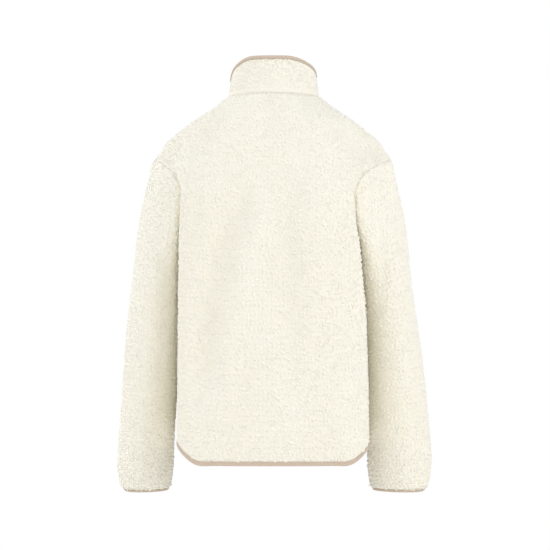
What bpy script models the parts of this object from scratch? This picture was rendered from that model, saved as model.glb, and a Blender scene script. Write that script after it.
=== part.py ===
"""Pile fleece jacket with a stand collar, holding the shape it has when worn, with no wearer.

Metres, +Z up. The front faces -Y, the jacket's left side is at +X, and the origin lies at the
base of the neck, level with the tops of the shoulder seams. Run it in Blender:

    blender --background --python part.py
"""

import math

import bmesh
import bpy
import numpy as np
from mathutils import Matrix, Vector

# ---- driving sizes -------------------------------------------------------------------------

PILE_THICK = 0.004  # knitted backing and pile together
SEAM_GAP = 0.0003  # between two pieces sewn to each other
SEAM_SHARE = 0.52  # a piece stands back from its seam by a little over half of that gap
BINDING_THICK = 0.001
PILE_PRESS = 0.0012  # how far the tape presses the pile down
# How far a tape folds over each side of an edge, how far in from the edge the pile is pressed,
# and where it stands at its full height again. The pile hides the upper part of a cuff's tape.
BINDING = dict(wide=0.0080, pressed=0.0090, risen=0.0125)
CUFF_BINDING = dict(wide=0.0045, pressed=0.0055, risen=0.0085)

ZIP_HALF_GAP = 0.006  # from the centre line to each front edge
CHAIN_WIDE = 0.0064
CHAIN_THICK = 0.0024
TAPE_WIDE = 0.013  # how far each zip tape reaches behind the fleece
ZIP_COLUMN = 0.015  # from a front edge to the first line of points beside it
TAPE_THICK = 0.0009

BACK_COLUMNS = (8, 5)  # from the centre back to the ridge, and from the ridge to the side
FRONT_COLUMNS = (7, 5)
SHOULDER_ROWS = 5
ARMHOLE_ROWS = 8  # half the columns of a sleeve
SIDE_ROWS = 13
SLEEVE_ROWS = 20
COLLAR_ROWS = 3

SIDE_SEAM_LONG = 0.360  # along the cloth, from the underarm to the hem
SLEEVE_LONG = 0.52
COLLAR_TALL = 0.068

# Stations run down the body: 0 at the neckline, 1 at the outer end of the shoulder seam,
# 2 at the underarm and 3 at the hem.
NECK, POINT, UNDERARM, HEM = 0, 1, 2, 3

SHOULDER_SEAM = [
    dict(at=0.00, left=0.080, right=0.079, y=-0.004, z=0.001),
    dict(at=0.22, left=0.107, right=0.107, y=-0.003, z=-0.023),
    dict(at=0.45, left=0.137, right=0.136, y=-0.002, z=-0.041),
    dict(at=0.70, left=0.171, right=0.168, y=-0.001, z=-0.064),
    dict(at=0.86, left=0.191, right=0.189, y=0.000, z=-0.083),
    dict(at=1.00, left=0.204, right=0.1995, y=0.000, z=-0.105),
]

SIDE_SEAM = [
    dict(at=2.00, left=0.149, right=0.139, y=-0.004, z=-0.234),
    dict(at=2.15, left=0.149, right=0.140, y=-0.004, z=-0.290),
    dict(at=2.45, left=0.149, right=0.145, y=-0.003, z=-0.385),
    dict(at=2.75, left=0.151, right=0.149, y=-0.002, z=-0.485),
    dict(at=3.00, left=0.153, right=0.151, y=0.000, z=-0.582),
]

# One row for each section of the back: the centre back, the ridge where the cloth turns
# forward beside each arm, and how steeply it turns there (degrees from straight across).
BACK = [
    dict(at=0.0, y=0.073, z=0.002, left=0.058, right=0.058, bend_y=0.050, turn=45, rise=0.0, level=1.0),
    dict(at=0.5, y=0.097, z=-0.052, left=0.112, right=0.110, bend_y=0.072, turn=40, rise=0.0, level=1.0),
    dict(at=1.0, y=0.113, z=-0.128, left=0.144, right=0.127, bend_y=0.091, turn=44, rise=0.0, level=1.0),
    dict(at=1.5, y=0.120, z=-0.190, left=0.154, right=0.132, bend_y=0.097, turn=78, rise=0.0, level=1.0),
    dict(at=2.0, y=0.121, z=-0.258, left=0.158, right=0.141, bend_y=0.091, turn=96, rise=0.0, level=1.0),
    dict(at=2.4, y=0.117, z=-0.385, left=0.160, right=0.153, bend_y=0.084, turn=90, rise=0.15, level=0.9),
    dict(at=2.7, y=0.113, z=-0.500, left=0.161, right=0.157, bend_y=0.081, turn=90, rise=0.32, level=0.8),
    dict(at=3.0, y=0.112, z=-0.6160, left=0.162, right=0.159, bend_y=0.077, turn=90, rise=0.49, level=0.73),
]

FRONT = [
    dict(at=0.0, y=-0.082, z=-0.076, left=0.058, right=0.058, bend_y=-0.060, turn=45, rise=0.0, level=1.0),
    dict(at=0.5, y=-0.097, z=-0.118, left=0.108, right=0.106, bend_y=-0.070, turn=40, rise=0.0, level=1.0),
    dict(at=1.0, y=-0.111, z=-0.172, left=0.140, right=0.134, bend_y=-0.084, turn=44, rise=0.0, level=1.0),
    dict(at=1.5, y=-0.122, z=-0.224, left=0.147, right=0.138, bend_y=-0.096, turn=76, rise=0.0, level=1.0),
    dict(at=2.0, y=-0.129, z=-0.280, left=0.152, right=0.142, bend_y=-0.098, turn=94, rise=0.0, level=1.0),
    dict(at=2.4, y=-0.128, z=-0.392, left=0.154, right=0.149, bend_y=-0.096, turn=90, rise=0.1, level=0.9),
    dict(at=2.7, y=-0.125, z=-0.496, left=0.156, right=0.154, bend_y=-0.092, turn=90, rise=0.3, level=0.86),
    dict(at=3.0, y=-0.122, z=-0.602, left=0.157, right=0.156, bend_y=-0.088, turn=90, rise=0.46, level=0.76),
]

# The top edge of the stand collar. It leans forward, so its front is lower than its back.
COLLAR_TOP = [
    dict(facing="back", side="left", y=0.060, z=0.0635, ridge=0.054, bend_y=0.038, rise=0.26, level=1.06),
    dict(facing="back", side="right", y=0.060, z=0.0635, ridge=0.054, bend_y=0.038, rise=0.14, level=1.04),
    dict(facing="front", side="left", y=-0.091, z=-0.006, ridge=0.053, bend_y=-0.072, rise=-0.05, level=1),
    dict(facing="front", side="right", y=-0.091, z=-0.006, ridge=0.053, bend_y=-0.072, rise=-0.05, level=1),
]
COLLAR_TOP_SIDE = {"left": (0.0745, -0.030, 0.030), "right": (0.0730, -0.030, 0.037)}
COLLAR_TOP_TURN = 45
COLLAR_WAIST = 0.0015  # how far the collar draws in half way up

# The armhole's loop from the shoulder point back and down to the underarm.
ARMHOLE_DEPTH = 0.073  # its reach behind and before the arm
BACK_BOW = {"left": 0.025, "right": 0.036}  # how far its back half pulls in towards the spine
FRONT_BOW = {"left": 0.022, "right": 0.024}
BOW_ROUND = 1.7  # a higher power keeps more of the bow near the middle of the loop
BOW_HIGH = 0.45  # how much more it bows above its middle than below

# Each sleeve hangs from its armhole: the outer and the inner line seen from behind, and the
# reach to the back and to the front seen from the side. The inner line stands off a side seam.
SLEEVE = [
    dict(at=0.00, left=0.204, right=0.1995, z=-0.105, off=0.0, in_z=-0.234, back=0.073, front=-0.073),
    dict(at=0.04, left=0.209, right=0.203, z=-0.122, off=0.0052, in_z=-0.2385, back=0.073, front=-0.075),
    dict(at=0.10, left=0.217, right=0.210, z=-0.150, off=0.0062, in_z=-0.254, back=0.071, front=-0.077),
    dict(at=0.22, left=0.2305, right=0.2245, z=-0.216, off=0.0066, in_z=-0.290, back=0.064, front=-0.080),
    dict(at=0.40, left=0.2440, right=0.2360, z=-0.325, off=0.0076, in_z=-0.368, back=0.053, front=-0.082),
    dict(at=0.56, left=0.2545, right=0.2510, z=-0.420, off=0.0085, in_z=-0.440, back=0.040, front=-0.086),
    dict(at=0.74, left=0.2625, right=0.2630, z=-0.520, off=0.0150, in_z=-0.530, back=0.020, front=-0.095),
    dict(at=0.90, left=0.2705, right=0.2720, z=-0.618, off=0.0190, in_z=-0.617, back=0.000, front=-0.108),
    dict(at=0.96, left=0.2695, right=0.2705, z=-0.652, off=0.0205, in_z=-0.651, back=-0.005, front=-0.110),
    dict(at=0.985, left=0.2650, right=0.2662, z=-0.666, off=0.0240, in_z=-0.6645, back=-0.012, front=-0.105),
    dict(at=1.00, left=0.2565, right=0.2580, z=-0.6755, off=0.0305, in_z=-0.6735, back=-0.024, front=-0.096),
]
SHOULDER_LEAN = 50  # degrees inwards that a section leaves the shoulder point
SHOULDER_EASE = 14  # how many times the cloth between a ridge and its armhole is evened out
BOW_FADES = 0.45  # the share of the sleeve over which the armhole's bow dies away
NEARER_AT_WRIST = {"left": 0.0, "right": 0.010}  # how much nearer the body a sleeve's inner line hangs

# The largest folds, each a line of (across, up) points on the side named by its facing.
# A height above 0 is a ridge and below 0 a trough.
FOLDS = [
    dict(name="long drag trough", facing="back", wide=0.020, high=-0.0060,
         line=[(0.030, -0.130), (0.078, -0.235), (0.106, -0.330), (0.114, -0.420), (0.125, -0.525)]),
    dict(name="long drag ridge", facing="back", wide=0.020, high=0.0050,
         line=[(0.004, -0.150), (0.048, -0.260), (0.066, -0.350), (0.084, -0.470), (0.106, -0.575)]),
    dict(name="spine trough", facing="back", wide=0.017, high=-0.0034,
         line=[(-0.014, -0.110), (-0.018, -0.250), (-0.019, -0.380), (-0.027, -0.540)]),
    dict(name="right blade ridge", facing="back", wide=0.024, high=0.0024,
         line=[(-0.060, -0.120), (-0.066, -0.260), (-0.070, -0.420)]),
    dict(name="left arm valley", facing="back", wide=0.017, high=-0.0050,
         line=[(0.161, -0.062), (0.171, -0.116)]),
    dict(name="right arm valley", facing="back", wide=0.017, high=-0.0055,
         line=[(-0.142, -0.055), (-0.154, -0.118)]),
    dict(name="right sleeve trough", facing="back", wide=0.014, high=-0.0045,
         line=[(-0.180, -0.165), (-0.182, -0.240), (-0.180, -0.330)]),
    dict(name="left sleeve trough", facing="back", wide=0.014, high=-0.0032,
         line=[(0.192, -0.165), (0.195, -0.230), (0.192, -0.300)]),
    dict(name="left chest drag", facing="front", wide=0.022, high=-0.0045,
         line=[(0.122, -0.200), (0.102, -0.310), (0.092, -0.420), (0.096, -0.540)]),
    dict(name="right chest drag", facing="front", wide=0.022, high=-0.0040,
         line=[(-0.118, -0.210), (-0.098, -0.320), (-0.086, -0.450)]),
    dict(name="left front ridge", facing="front", wide=0.020, high=0.0030,
         line=[(0.062, -0.230), (0.056, -0.380), (0.060, -0.520)]),
    dict(name="right front ridge", facing="front", wide=0.020, high=0.0032,
         line=[(-0.062, -0.250), (-0.054, -0.400), (-0.058, -0.530)]),
]  # fmt: skip
FOLD_FADES = 0.18  # the share of a fold's length over which each end dies away
FOLD_FACING = 0.1  # a fold is on cloth whose normal faces its side by more than this
FOLD_FACING_OVER = 0.4  # and it grows to its full height over this much more

FLEECE = dict(name="cream pile fleece", colour=(0.90, 0.87, 0.77), rough=0.95, metal=0.0)
TAUPE = dict(name="taupe stretch binding", colour=(0.60, 0.49, 0.41), rough=0.75, metal=0.0)
TAPE = dict(name="cream zip tape", colour=(0.82, 0.78, 0.68), rough=0.85, metal=0.0)
TEETH = dict(name="cream moulded zip teeth", colour=(0.80, 0.76, 0.66), rough=0.45, metal=0.0)
METAL = dict(name="satin nickel", colour=(0.66, 0.65, 0.63), rough=0.32, metal=1.0)


# ---- curves --------------------------------------------------------------------------------


def smooth(share):
    """0 to 1 with level ends."""
    share = np.clip(share, 0.0, 1.0)
    return share * share * (3 - 2 * share)


def from_table(rows, column, at):
    """A smooth curve through one column of a table, read at a station."""
    stations = [row["at"] for row in rows]
    values = [row[column] for row in rows]
    last = len(rows) - 1
    slopes = [
        (values[min(i + 1, last)] - values[max(i - 1, 0)])
        / (stations[min(i + 1, last)] - stations[max(i - 1, 0)])
        for i in range(len(rows))
    ]
    i = max(0, min(int(np.searchsorted(stations, at, side="right")) - 1, last - 1))
    step = stations[i + 1] - stations[i]
    t = (at - stations[i]) / step
    return (
        (1 + 2 * t) * (1 - t) ** 2 * values[i]
        + t * (1 - t) ** 2 * step * slopes[i]
        + t * t * (3 - 2 * t) * values[i + 1]
        + t * t * (t - 1) * step * slopes[i + 1]
    )


def seam_point(rows, side, at):
    return np.array([from_table(rows, column, at) for column in (side, "y", "z")])


def bezier(a, b, c, d, steps=24):
    t = np.linspace(0, 1, steps + 1)[:, None]
    a, b, c, d = (np.array(p) for p in (a, b, c, d))
    return a * (1 - t) ** 3 + 3 * b * t * (1 - t) ** 2 + 3 * c * t * t * (1 - t) + d * t**3


def share_along(points):
    steps = np.linalg.norm(np.diff(points, axis=0), axis=1)
    return np.concatenate([[0], np.cumsum(steps)]) / steps.sum()


def length_of(line):
    return np.linalg.norm(np.diff(line, axis=0), axis=1).sum()


def along(line, shares):
    """Points at shares of the way along a line in plan."""
    return np.stack([np.interp(shares, share_along(line), line[:, k]) for k in (0, 1)], axis=1)


def half_section(middle, ridge, turn, side, columns, lean=0.0):
    """A half section of the body in plan, from its middle round the ridge to its side. It leaves
    the side square to it, or leaning inwards by an angle. A front's first column is the zip's."""
    middle, ridge, side = (np.array(p, float) for p in (middle, ridge, side))
    outward = math.copysign(1, middle[1])
    turn, lean = math.radians(turn), math.radians(lean)
    heading = np.array([math.cos(turn), -outward * math.sin(turn)])
    leaving = np.array([-math.sin(lean), outward * math.cos(lean)])
    across = ridge[0] - middle[0]
    bend = min(0.30 * across, 0.9 * abs(middle[1] - ridge[1]) / math.sin(turn))
    round_side = 0.38 * np.linalg.norm(ridge - side)
    first = bezier(middle, middle + [0.55 * across, 0], ridge - heading * bend, ridge)
    second = bezier(ridge, ridge + heading * round_side, side + leaving * round_side, side)
    even = np.linspace(0, 1, columns[0] + 1)
    shares = 0.5 * even + 0.5 * np.sin(even * math.pi / 2)
    if middle[0] > 0:
        zip_share = ZIP_COLUMN / length_of(first)
        shares = np.concatenate([[0], np.linspace(zip_share, 1, columns[0])])
    return np.concatenate([along(first, shares), along(second, np.linspace(0, 1, columns[1] + 1))[1:]])


# ---- the cloth's surface, as grids of points -----------------------------------------------


def armhole_bow(side, c, s):
    """The loop pulls in most a little above its middle."""
    return (BACK_BOW if s > 0 else FRONT_BOW)[side] * abs(s) ** BOW_ROUND * (1 + BOW_HIGH * c)


def armhole_point(side, turn):
    """A point of the armhole's loop. turn is 0 at the shoulder point, 90 behind the arm,
    180 at the underarm and 270 before the arm."""
    top = seam_point(SHOULDER_SEAM, side, POINT)
    low = seam_point(SIDE_SEAM, side, UNDERARM)
    c, s = math.cos(math.radians(turn)), math.sin(math.radians(turn))
    bow = np.array([-armhole_bow(side, c, s), ARMHOLE_DEPTH * s, 0.0])
    return (top + low) / 2 + (top - low) / 2 * c + bow


def side_point(side, at, facing):
    """Where a section of the back or front ends: on the shoulder seam, armhole or side seam."""
    if at <= POINT:
        return seam_point(SHOULDER_SEAM, side, at)
    if at >= UNDERARM:
        return seam_point(SIDE_SEAM, side, at)
    turn = 180 * (at - POINT)
    return armhole_point(side, turn if facing == "back" else -turn)


def section_points(side, at, facing):
    """One half section of the back or of a front, from its middle to its side."""
    table, columns, start_x = BACK, BACK_COLUMNS, 0.0
    if facing == "front":
        table, columns, start_x = FRONT, FRONT_COLUMNS, ZIP_HALF_GAP
    value = {column: from_table(table, column, at) for column in table[0] if column != "at"}
    end = side_point(side, at, facing)
    ridge = (value[side], value["bend_y"])
    lean = SHOULDER_LEAN * near_shoulder_point(at)
    plan = half_section((start_x, value["y"]), ridge, value["turn"], end[:2], columns, lean)
    level = smooth((share_along(plan) - value["rise"]) / (value["level"] - value["rise"]))
    height = value["z"] + (end[2] - value["z"]) * level
    height[-1] = end[2]
    return np.column_stack([plan, height])


def near_shoulder_point(at):
    return smooth((at - 0.40) / 0.55) * (1 - smooth((at - 1.05) / 0.45))


def eased(half, stations, facing):
    """Half a back or a front, from its middle to its side, with the cloth near the shoulder
    point drawn evenly between its seams and its ridge."""
    columns = BACK_COLUMNS if facing == "back" else FRONT_COLUMNS
    toward_side = smooth((np.arange(half.shape[1]) - columns[0] + 3) / 4)
    toward_side[-2] = 0.25
    weight = near_shoulder_point(np.array(stations))[:, None] * toward_side
    weight = np.sqrt(weight)[1:-1, 1:-1, None]
    half = half.copy()
    for _ in range(SHOULDER_EASE):
        around = (half[:-2, 1:-1] + half[2:, 1:-1] + half[1:-1, :-2] + half[1:-1, 2:]) / 4
        half[1:-1, 1:-1] += 0.7 * weight * (around - half[1:-1, 1:-1])
    return half


def edge_stations(low, high, rows, edge_length, tape):
    """Stations from low to high, the last two set for the pressed strip at a bound edge."""
    risen, pressed = (high - (high - low) * tape[part] / edge_length for part in ("risen", "pressed"))
    return [*np.linspace(low, risen, rows - 1), pressed, high]


def body_stations():
    return [
        *np.linspace(NECK, POINT, SHOULDER_ROWS, endpoint=False),
        *np.linspace(POINT, UNDERARM, ARMHOLE_ROWS, endpoint=False),
        *edge_stations(UNDERARM, HEM, SIDE_ROWS, SIDE_SEAM_LONG, BINDING),
    ]


def mirrored(points, side):
    return points * [1 if side == "left" else -1, 1, 1]


def half_grid(side, stations, facing):
    """From the middle to the side, and from the neckline to the hem."""
    rows = np.array([section_points(side, at, facing) for at in stations])
    return mirrored(eased(rows, stations, facing), side)


def back_grid(stations):
    left, right = (half_grid(side, stations, "back") for side in ("left", "right"))
    return np.concatenate([left[:, ::-1], right[:, 1:]], axis=1)


def front_grid(side, stations):
    """Columns run from the zip to the side on the left, and from the side to the zip on the right,
    so that every piece's columns run the same way round the body."""
    front = half_grid(side, stations, "front")
    return front if side == "left" else front[:, ::-1]


def collar_top_line(side, facing):
    """A quarter of the collar's top edge, from its middle to its side."""
    top = next(row for row in COLLAR_TOP if row["facing"] == facing and row["side"] == side)
    columns, start_x = (BACK_COLUMNS, 0.0) if facing == "back" else (FRONT_COLUMNS, ZIP_HALF_GAP)
    *end, end_z = COLLAR_TOP_SIDE[side]
    plan = half_section((start_x, top["y"]), (top["ridge"], top["bend_y"]), COLLAR_TOP_TURN, end, columns)
    height = smooth((share_along(plan) - top["rise"]) / (top["level"] - top["rise"]))
    height = (height - height[0]) / (height[-1] - height[0])
    return mirrored(np.column_stack([plan, top["z"] + (end_z - top["z"]) * height]), side)


def collar_grid(neckline_parts):
    """From the collar's top edge down to the neckline."""
    quarters = {
        (side, facing): collar_top_line(side, facing)
        for side in ("left", "right")
        for facing in ("back", "front")
    }
    top_line = np.concatenate([
        quarters["left", "front"],
        quarters["left", "back"][::-1][1:],
        quarters["right", "back"][1:],
        quarters["right", "front"][::-1][1:],
    ])  # fmt: skip
    base_line = np.concatenate([neckline_parts[0], neckline_parts[1][1:], neckline_parts[2][1:]])
    shares = edge_stations(1.0, 0.0, COLLAR_ROWS + 2, COLLAR_TALL, BINDING)[::-1]
    middle = top_line.mean(axis=0)
    rows = []
    for share in shares:
        line = top_line + (base_line - top_line) * share
        inward = (middle - line) * [1, 1, 0]
        inward /= np.linalg.norm(inward, axis=1)[:, None]
        rows.append(line + inward * COLLAR_WAIST * math.sin(math.pi * share))
    return np.array(rows)


def side_seam_across(side, z):
    """How far out the side seam lies at a height."""
    heights = [-row["z"] for row in SIDE_SEAM]
    return float(np.interp(-z, heights, [row[side] for row in SIDE_SEAM]))


def sleeve_ring(side, at, turns):
    """One ring round a sleeve, at the same turns as the armhole's points."""
    value = {column: from_table(SLEEVE, column, at) for column in SLEEVE[0] if column != "at"}
    inner_x = side_seam_across(side, value["in_z"]) + value["off"]
    inner_x -= NEARER_AT_WRIST[side] * smooth((at - 0.5) / 0.4)
    outer = np.array([value[side], 0, value["z"]])
    inner = np.array([inner_x, 0, value["in_z"]])
    middle_y = (value["back"] + value["front"]) / 2
    reach_y = (value["back"] - value["front"]) / 2
    fade = 1 - smooth(at / BOW_FADES)
    armhole_top = from_table(SHOULDER_SEAM, "y", POINT)
    armhole_low = from_table(SIDE_SEAM, "y", UNDERARM)
    ring = []
    for turn in turns:
        c, s = math.cos(math.radians(turn)), math.sin(math.radians(turn))
        bow = armhole_bow(side, c, s)
        off_middle = (armhole_top + armhole_low) / 2 + (armhole_top - armhole_low) / 2 * c
        point = (outer + inner) / 2 + (outer - inner) / 2 * c
        ring.append(point + [-bow * fade, middle_y + reach_y * s + off_middle * fade, 0])
    return mirrored(np.array(ring), side)


def sleeve_grid(side):
    """Rings down the sleeve. They run round the same way on both sides of the body."""
    step = 180 / ARMHOLE_ROWS
    turns = [k * step for k in range(2 * ARMHOLE_ROWS)]
    if side == "right":
        turns = [-turn for turn in turns]
    stations = edge_stations(0.0, 1.0, SLEEVE_ROWS, SLEEVE_LONG, CUFF_BINDING)
    return np.array([sleeve_ring(side, at, turns) for at in stations])


# ---- folds ---------------------------------------------------------------------------------

FACINGS = {"back": (0, 1), "front": (0, -1)}  # the outward direction in x and y


def nearest_on(line, point):
    """(distance from the line, share of the way along it)."""
    line = np.array(line)
    lengths = np.linalg.norm(np.diff(line, axis=0), axis=1)
    best, share = math.inf, 0.0
    for i, length in enumerate(lengths):
        step = line[i + 1] - line[i]
        t = min(1.0, max(0.0, float(np.dot(point - line[i], step)) / length**2))
        away = float(np.linalg.norm(point - line[i] - t * step))
        if away < best:
            best, share = away, (lengths[:i].sum() + t * length) / lengths.sum()
    return best, share


def fold_height(point, normal):
    """How far all the folds together move the cloth outwards at a point."""
    height = 0.0
    for fold in FOLDS:
        facing = normal[1] * FACINGS[fold["facing"]][1]
        if facing < FOLD_FACING:
            continue
        away, share = nearest_on(fold["line"], np.array([point[0], point[2]]))
        ends = smooth(share / FOLD_FADES) * smooth((1 - share) / FOLD_FADES)
        turned = smooth((facing - FOLD_FACING) / FOLD_FACING_OVER)
        height += fold["high"] * math.exp(-((away / fold["wide"]) ** 2)) * ends * turned
    return height


# ---- from grids to cloth walls -------------------------------------------------------------


class Shell:
    """All the cloth as one surface with shared points at the seams, so that two pieces that are
    sewn together get the same direction of thickness along their seam."""

    def __init__(self):
        self.mesh = bmesh.new()
        self.known = {}
        self.faces = {}
        self.grids = {}
        self.pressed = set()

    def vertex(self, point):
        key = tuple(int(round(c * 1e6)) for c in point)
        if key not in self.known:
            self.known[key] = self.mesh.verts.new(point)
        return self.known[key]

    def add(self, name, grid, ring=False):
        verts = [[self.vertex(point) for point in row] for row in grid]
        if ring:
            verts = [[*row, row[0]] for row in verts]
        self.grids[name] = verts
        self.faces[name] = [
            self.mesh.faces.new((upper[j], lower[j], lower[j + 1], upper[j + 1]))
            for upper, lower in zip(verts, verts[1:])
            for j in range(len(upper) - 1)
        ]

    def press(self, rows):
        for row in rows:
            self.pressed.update(row)

    def lay_folds(self):
        self.mesh.normal_update()
        moves = {v: v.normal * fold_height(v.co, v.normal) for v in self.mesh.verts}
        for vertex, move in moves.items():
            vertex.co += move
        self.mesh.normal_update()

    def pull_back(self, name):
        """How far each point on a seam stands back from it, square to the cloth's thickness."""
        own = set(self.faces[name])
        sideways = {}
        for face in self.faces[name]:
            for loop in face.loops:
                if all(f in own for f in loop.edge.link_faces):
                    continue
                ends = loop.vert, loop.link_loop_next.vert
                along = ends[1].co - ends[0].co
                for vertex in ends:
                    sideways.setdefault(vertex, []).append(vertex.normal.cross(along).normalized())
        moves = {}
        for vertex, sides in sideways.items():
            turn = sides[0].dot(sides[-1])
            moves[vertex] = (sides[0] + sides[-1]) / max(0.6, 1 + turn) * SEAM_GAP * SEAM_SHARE
        return moves


def wall(shell, name, thick=PILE_THICK):
    """A piece as a closed wall: its outer face is the pile's tips, its inner face the backing."""
    moves = shell.pull_back(name)
    made = bmesh.new()
    outer, inner = {}, {}
    for vertex in sorted({v for f in shell.faces[name] for v in f.verts}, key=lambda v: v.index):
        place = vertex.co + moves.get(vertex, Vector())
        pressed = PILE_PRESS if vertex in shell.pressed else 0.0
        outer[vertex] = made.verts.new(place - vertex.normal * pressed)
        inner[vertex] = made.verts.new(place - vertex.normal * thick)
    sides = {}
    for face in shell.faces[name]:
        a, b, c, d = face.verts
        for corners in ((a, b, c), (a, c, d)):
            made.faces.new([outer[v] for v in corners])
            made.faces.new([inner[v] for v in reversed(corners)])
        for loop in face.loops:
            pair = loop.vert, loop.link_loop_next.vert
            sides[pair] = pair
    for a, b in sides:
        if (b, a) in sides:
            continue
        if a.index < b.index:
            corners = (outer[b], outer[a], inner[b]), (outer[a], inner[a], inner[b])
        else:
            corners = (outer[b], outer[a], inner[a]), (outer[b], inner[a], inner[b])
        for triangle in corners:
            made.faces.new(triangle)
    return made


# ---- binding and zip, laid on the cloth's own points ---------------------------------------


OUTWARD_LEGS = (0, 6)  # the steps of a tape's section that run from a leg's end to the edge


def tape_section(edge, within, tape):
    """The folded tape's section at one point of an edge. within is the cloth's next point in."""
    share = tape["wide"] / tape["pressed"]
    leg_end = edge.co.lerp(within.co, share)
    leg_normal = edge.normal.lerp(within.normal, share).normalized()
    out = edge.co - within.co
    out = (out - edge.normal * out.dot(edge.normal)).normalized()
    face, back = SEAM_GAP - PILE_PRESS, -PILE_THICK - SEAM_GAP
    over = SEAM_GAP + BINDING_THICK
    soft = 0.4 * over

    def at_edge(beyond, height):
        return edge.co + out * beyond + edge.normal * height

    return [
        leg_end + leg_normal * (face + BINDING_THICK),
        at_edge(soft, face + BINDING_THICK),
        at_edge(over, face - soft),
        at_edge(over, back + soft),
        at_edge(soft, back - BINDING_THICK),
        leg_end + leg_normal * (back - BINDING_THICK),
        leg_end + leg_normal * back,
        at_edge(SEAM_GAP, back),
        at_edge(SEAM_GAP, face),
        leg_end + leg_normal * face,
    ]


def binding(edge, inside, tape, ring=False, edge_first=False):
    """A folded tape along an edge. inside holds the points one row in from the edge. Its
    triangles lie as the cloth's do, whose edge may be the first row or the last."""
    made = bmesh.new()
    sweep = [[made.verts.new(p) for p in tape_section(*pair, tape)] for pair in zip(edge, inside)]
    count = len(sweep[0])
    if ring:
        sweep.append(sweep[0])
    for one, two in zip(sweep, sweep[1:]):
        for k in range(count):
            after = (k + 1) % count
            if (k in OUTWARD_LEGS) != edge_first:
                made.faces.new((one[k], two[k], two[after]))
                made.faces.new((one[k], two[after], one[after]))
            else:
                made.faces.new((one[k], two[k], one[after]))
                made.faces.new((two[k], two[after], one[after]))
    if not ring:
        for section, turned in ((sweep[0], False), (sweep[-1], True)):
            for quad in ((0, 1, 8, 9), (1, 2, 7, 8), (2, 3, 7), (3, 4, 7), (4, 5, 6, 7)):
                corners = [section[k] for k in quad]
                made.faces.new(reversed(corners) if turned else corners)
    return made


def zip_line(shell, side):
    """The front edge's points from the collar's top to the hem, each with the point beside it."""
    edge, beside = (0, 1) if side == "left" else (-1, -2)
    rows = shell.grids["collar"][:-1] + shell.grids["front_" + side]
    return [(row[edge], row[beside]) for row in rows]


def swept_box(lines):
    """A closed bar through sections of four corners each."""
    made = bmesh.new()
    rings = [[made.verts.new(corner) for corner in corners] for corners in lines]
    for one, two in zip(rings, rings[1:]):
        for k in range(4):
            after = (k + 1) % 4
            made.faces.new((one[k], two[k], two[after], one[after]))
    made.faces.new(reversed(rings[0]))
    made.faces.new(rings[-1])
    bmesh.ops.recalc_face_normals(made, faces=made.faces)
    return made


def zip_tape(shell, side):
    sections = []
    chain_x = (CHAIN_WIDE / 2 + SEAM_GAP) * (1 if side == "left" else -1)
    for edge, beside in zip_line(shell, side):
        start = edge.co - edge.normal * (PILE_THICK + SEAM_GAP)
        end = beside.co - beside.normal * (PILE_THICK + SEAM_GAP)
        across = (end - start).normalized()
        near = start + across * (chain_x - start.x) / across.x
        far = start + across * TAPE_WIDE
        depth = Vector((0, edge.normal.y, edge.normal.z)) * TAPE_THICK
        sections.append([near, far, far - depth, near - depth])
    return swept_box(shortened(sections, BINDING["wide"] + 2 * SEAM_GAP, BINDING["wide"] + 2 * SEAM_GAP))


def shortened(sections, top, foot):
    """The sweep with its ends moved in along it, past any section that lies in the way."""
    for end, length in ((0, top), (-1, foot)):
        step = 1 if end == 0 else -1
        middles = [sum(section, Vector()) / 4 for section in sections]
        while (middles[end + step] - middles[end]).length < length:
            length -= (middles[end + step] - middles[end]).length
            sections = sections[1:] if end == 0 else sections[:-1]
            middles = [sum(section, Vector()) / 4 for section in sections]
        share = length / (middles[end + step] - middles[end]).length
        moved = [a.lerp(b, share) for a, b in zip(sections[end], sections[end + step])]
        sections = [moved, *sections[1:]] if end == 0 else [*sections[:-1], moved]
    return sections


def chain_frames(shell):
    """Along the closed teeth: (middle of the tapes' outer faces, outward direction)."""
    frames = []
    for (left, _), (right, _) in zip(zip_line(shell, "left"), zip_line(shell, "right")):
        out = (left.normal + right.normal) * 0.5
        out = Vector((0, out.y, out.z)).normalized()
        middle = (left.co + right.co) / 2 - out * (PILE_THICK + SEAM_GAP)
        frames.append((Vector((0, middle.y, middle.z)), out))
    return frames


def zip_chain(shell):
    """The closed teeth, from just below the slider's neck down to the hem's binding."""
    across = Vector((CHAIN_WIDE / 2, 0, 0))
    proud = (CHAIN_THICK - TAPE_THICK) / 2
    sections = []
    for middle, out in chain_frames(shell):
        face, rear = middle + out * proud, middle - out * (CHAIN_THICK - proud)
        sections.append([face - across, face + across, rear + across, rear - across])
    top = BINDING["wide"] + SLIDER["neck_tall"] + 6 * SEAM_GAP
    return swept_box(shortened(sections, top, CHAIN_THICK))


# ---- slider and pull -----------------------------------------------------------------------

SLIDER = dict(wide=0.0086, tall=0.0095, plate=0.0011, neck_wide=0.0030, neck_tall=0.0022, play=0.0006)
PIN_RADIUS = 0.0006
LUG = dict(wide=0.0011, tall=0.0026, reach=0.0040, apart=0.0030)
PULL = dict(wide=0.0050, long=0.0240, thick=0.0012, eye=0.0019, hole=0.0010, eye_wide=0.0024, overlap=0.001)


def box(size, place):
    made = bmesh.new()
    bmesh.ops.create_cube(made, size=1.0, matrix=Matrix.Translation(place) @ Matrix.Diagonal((*size, 1)))
    return made


def cross_bar(radius, length, place, sides=16):
    """A round bar along X."""
    made = bmesh.new()
    turn = Matrix.Rotation(math.pi / 2, 4, "Y")
    bmesh.ops.create_cone(made, cap_ends=True, segments=sides, radius1=radius, radius2=radius, depth=length,
                          matrix=Matrix.Translation(place) @ turn)  # fmt: skip
    return made


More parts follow.
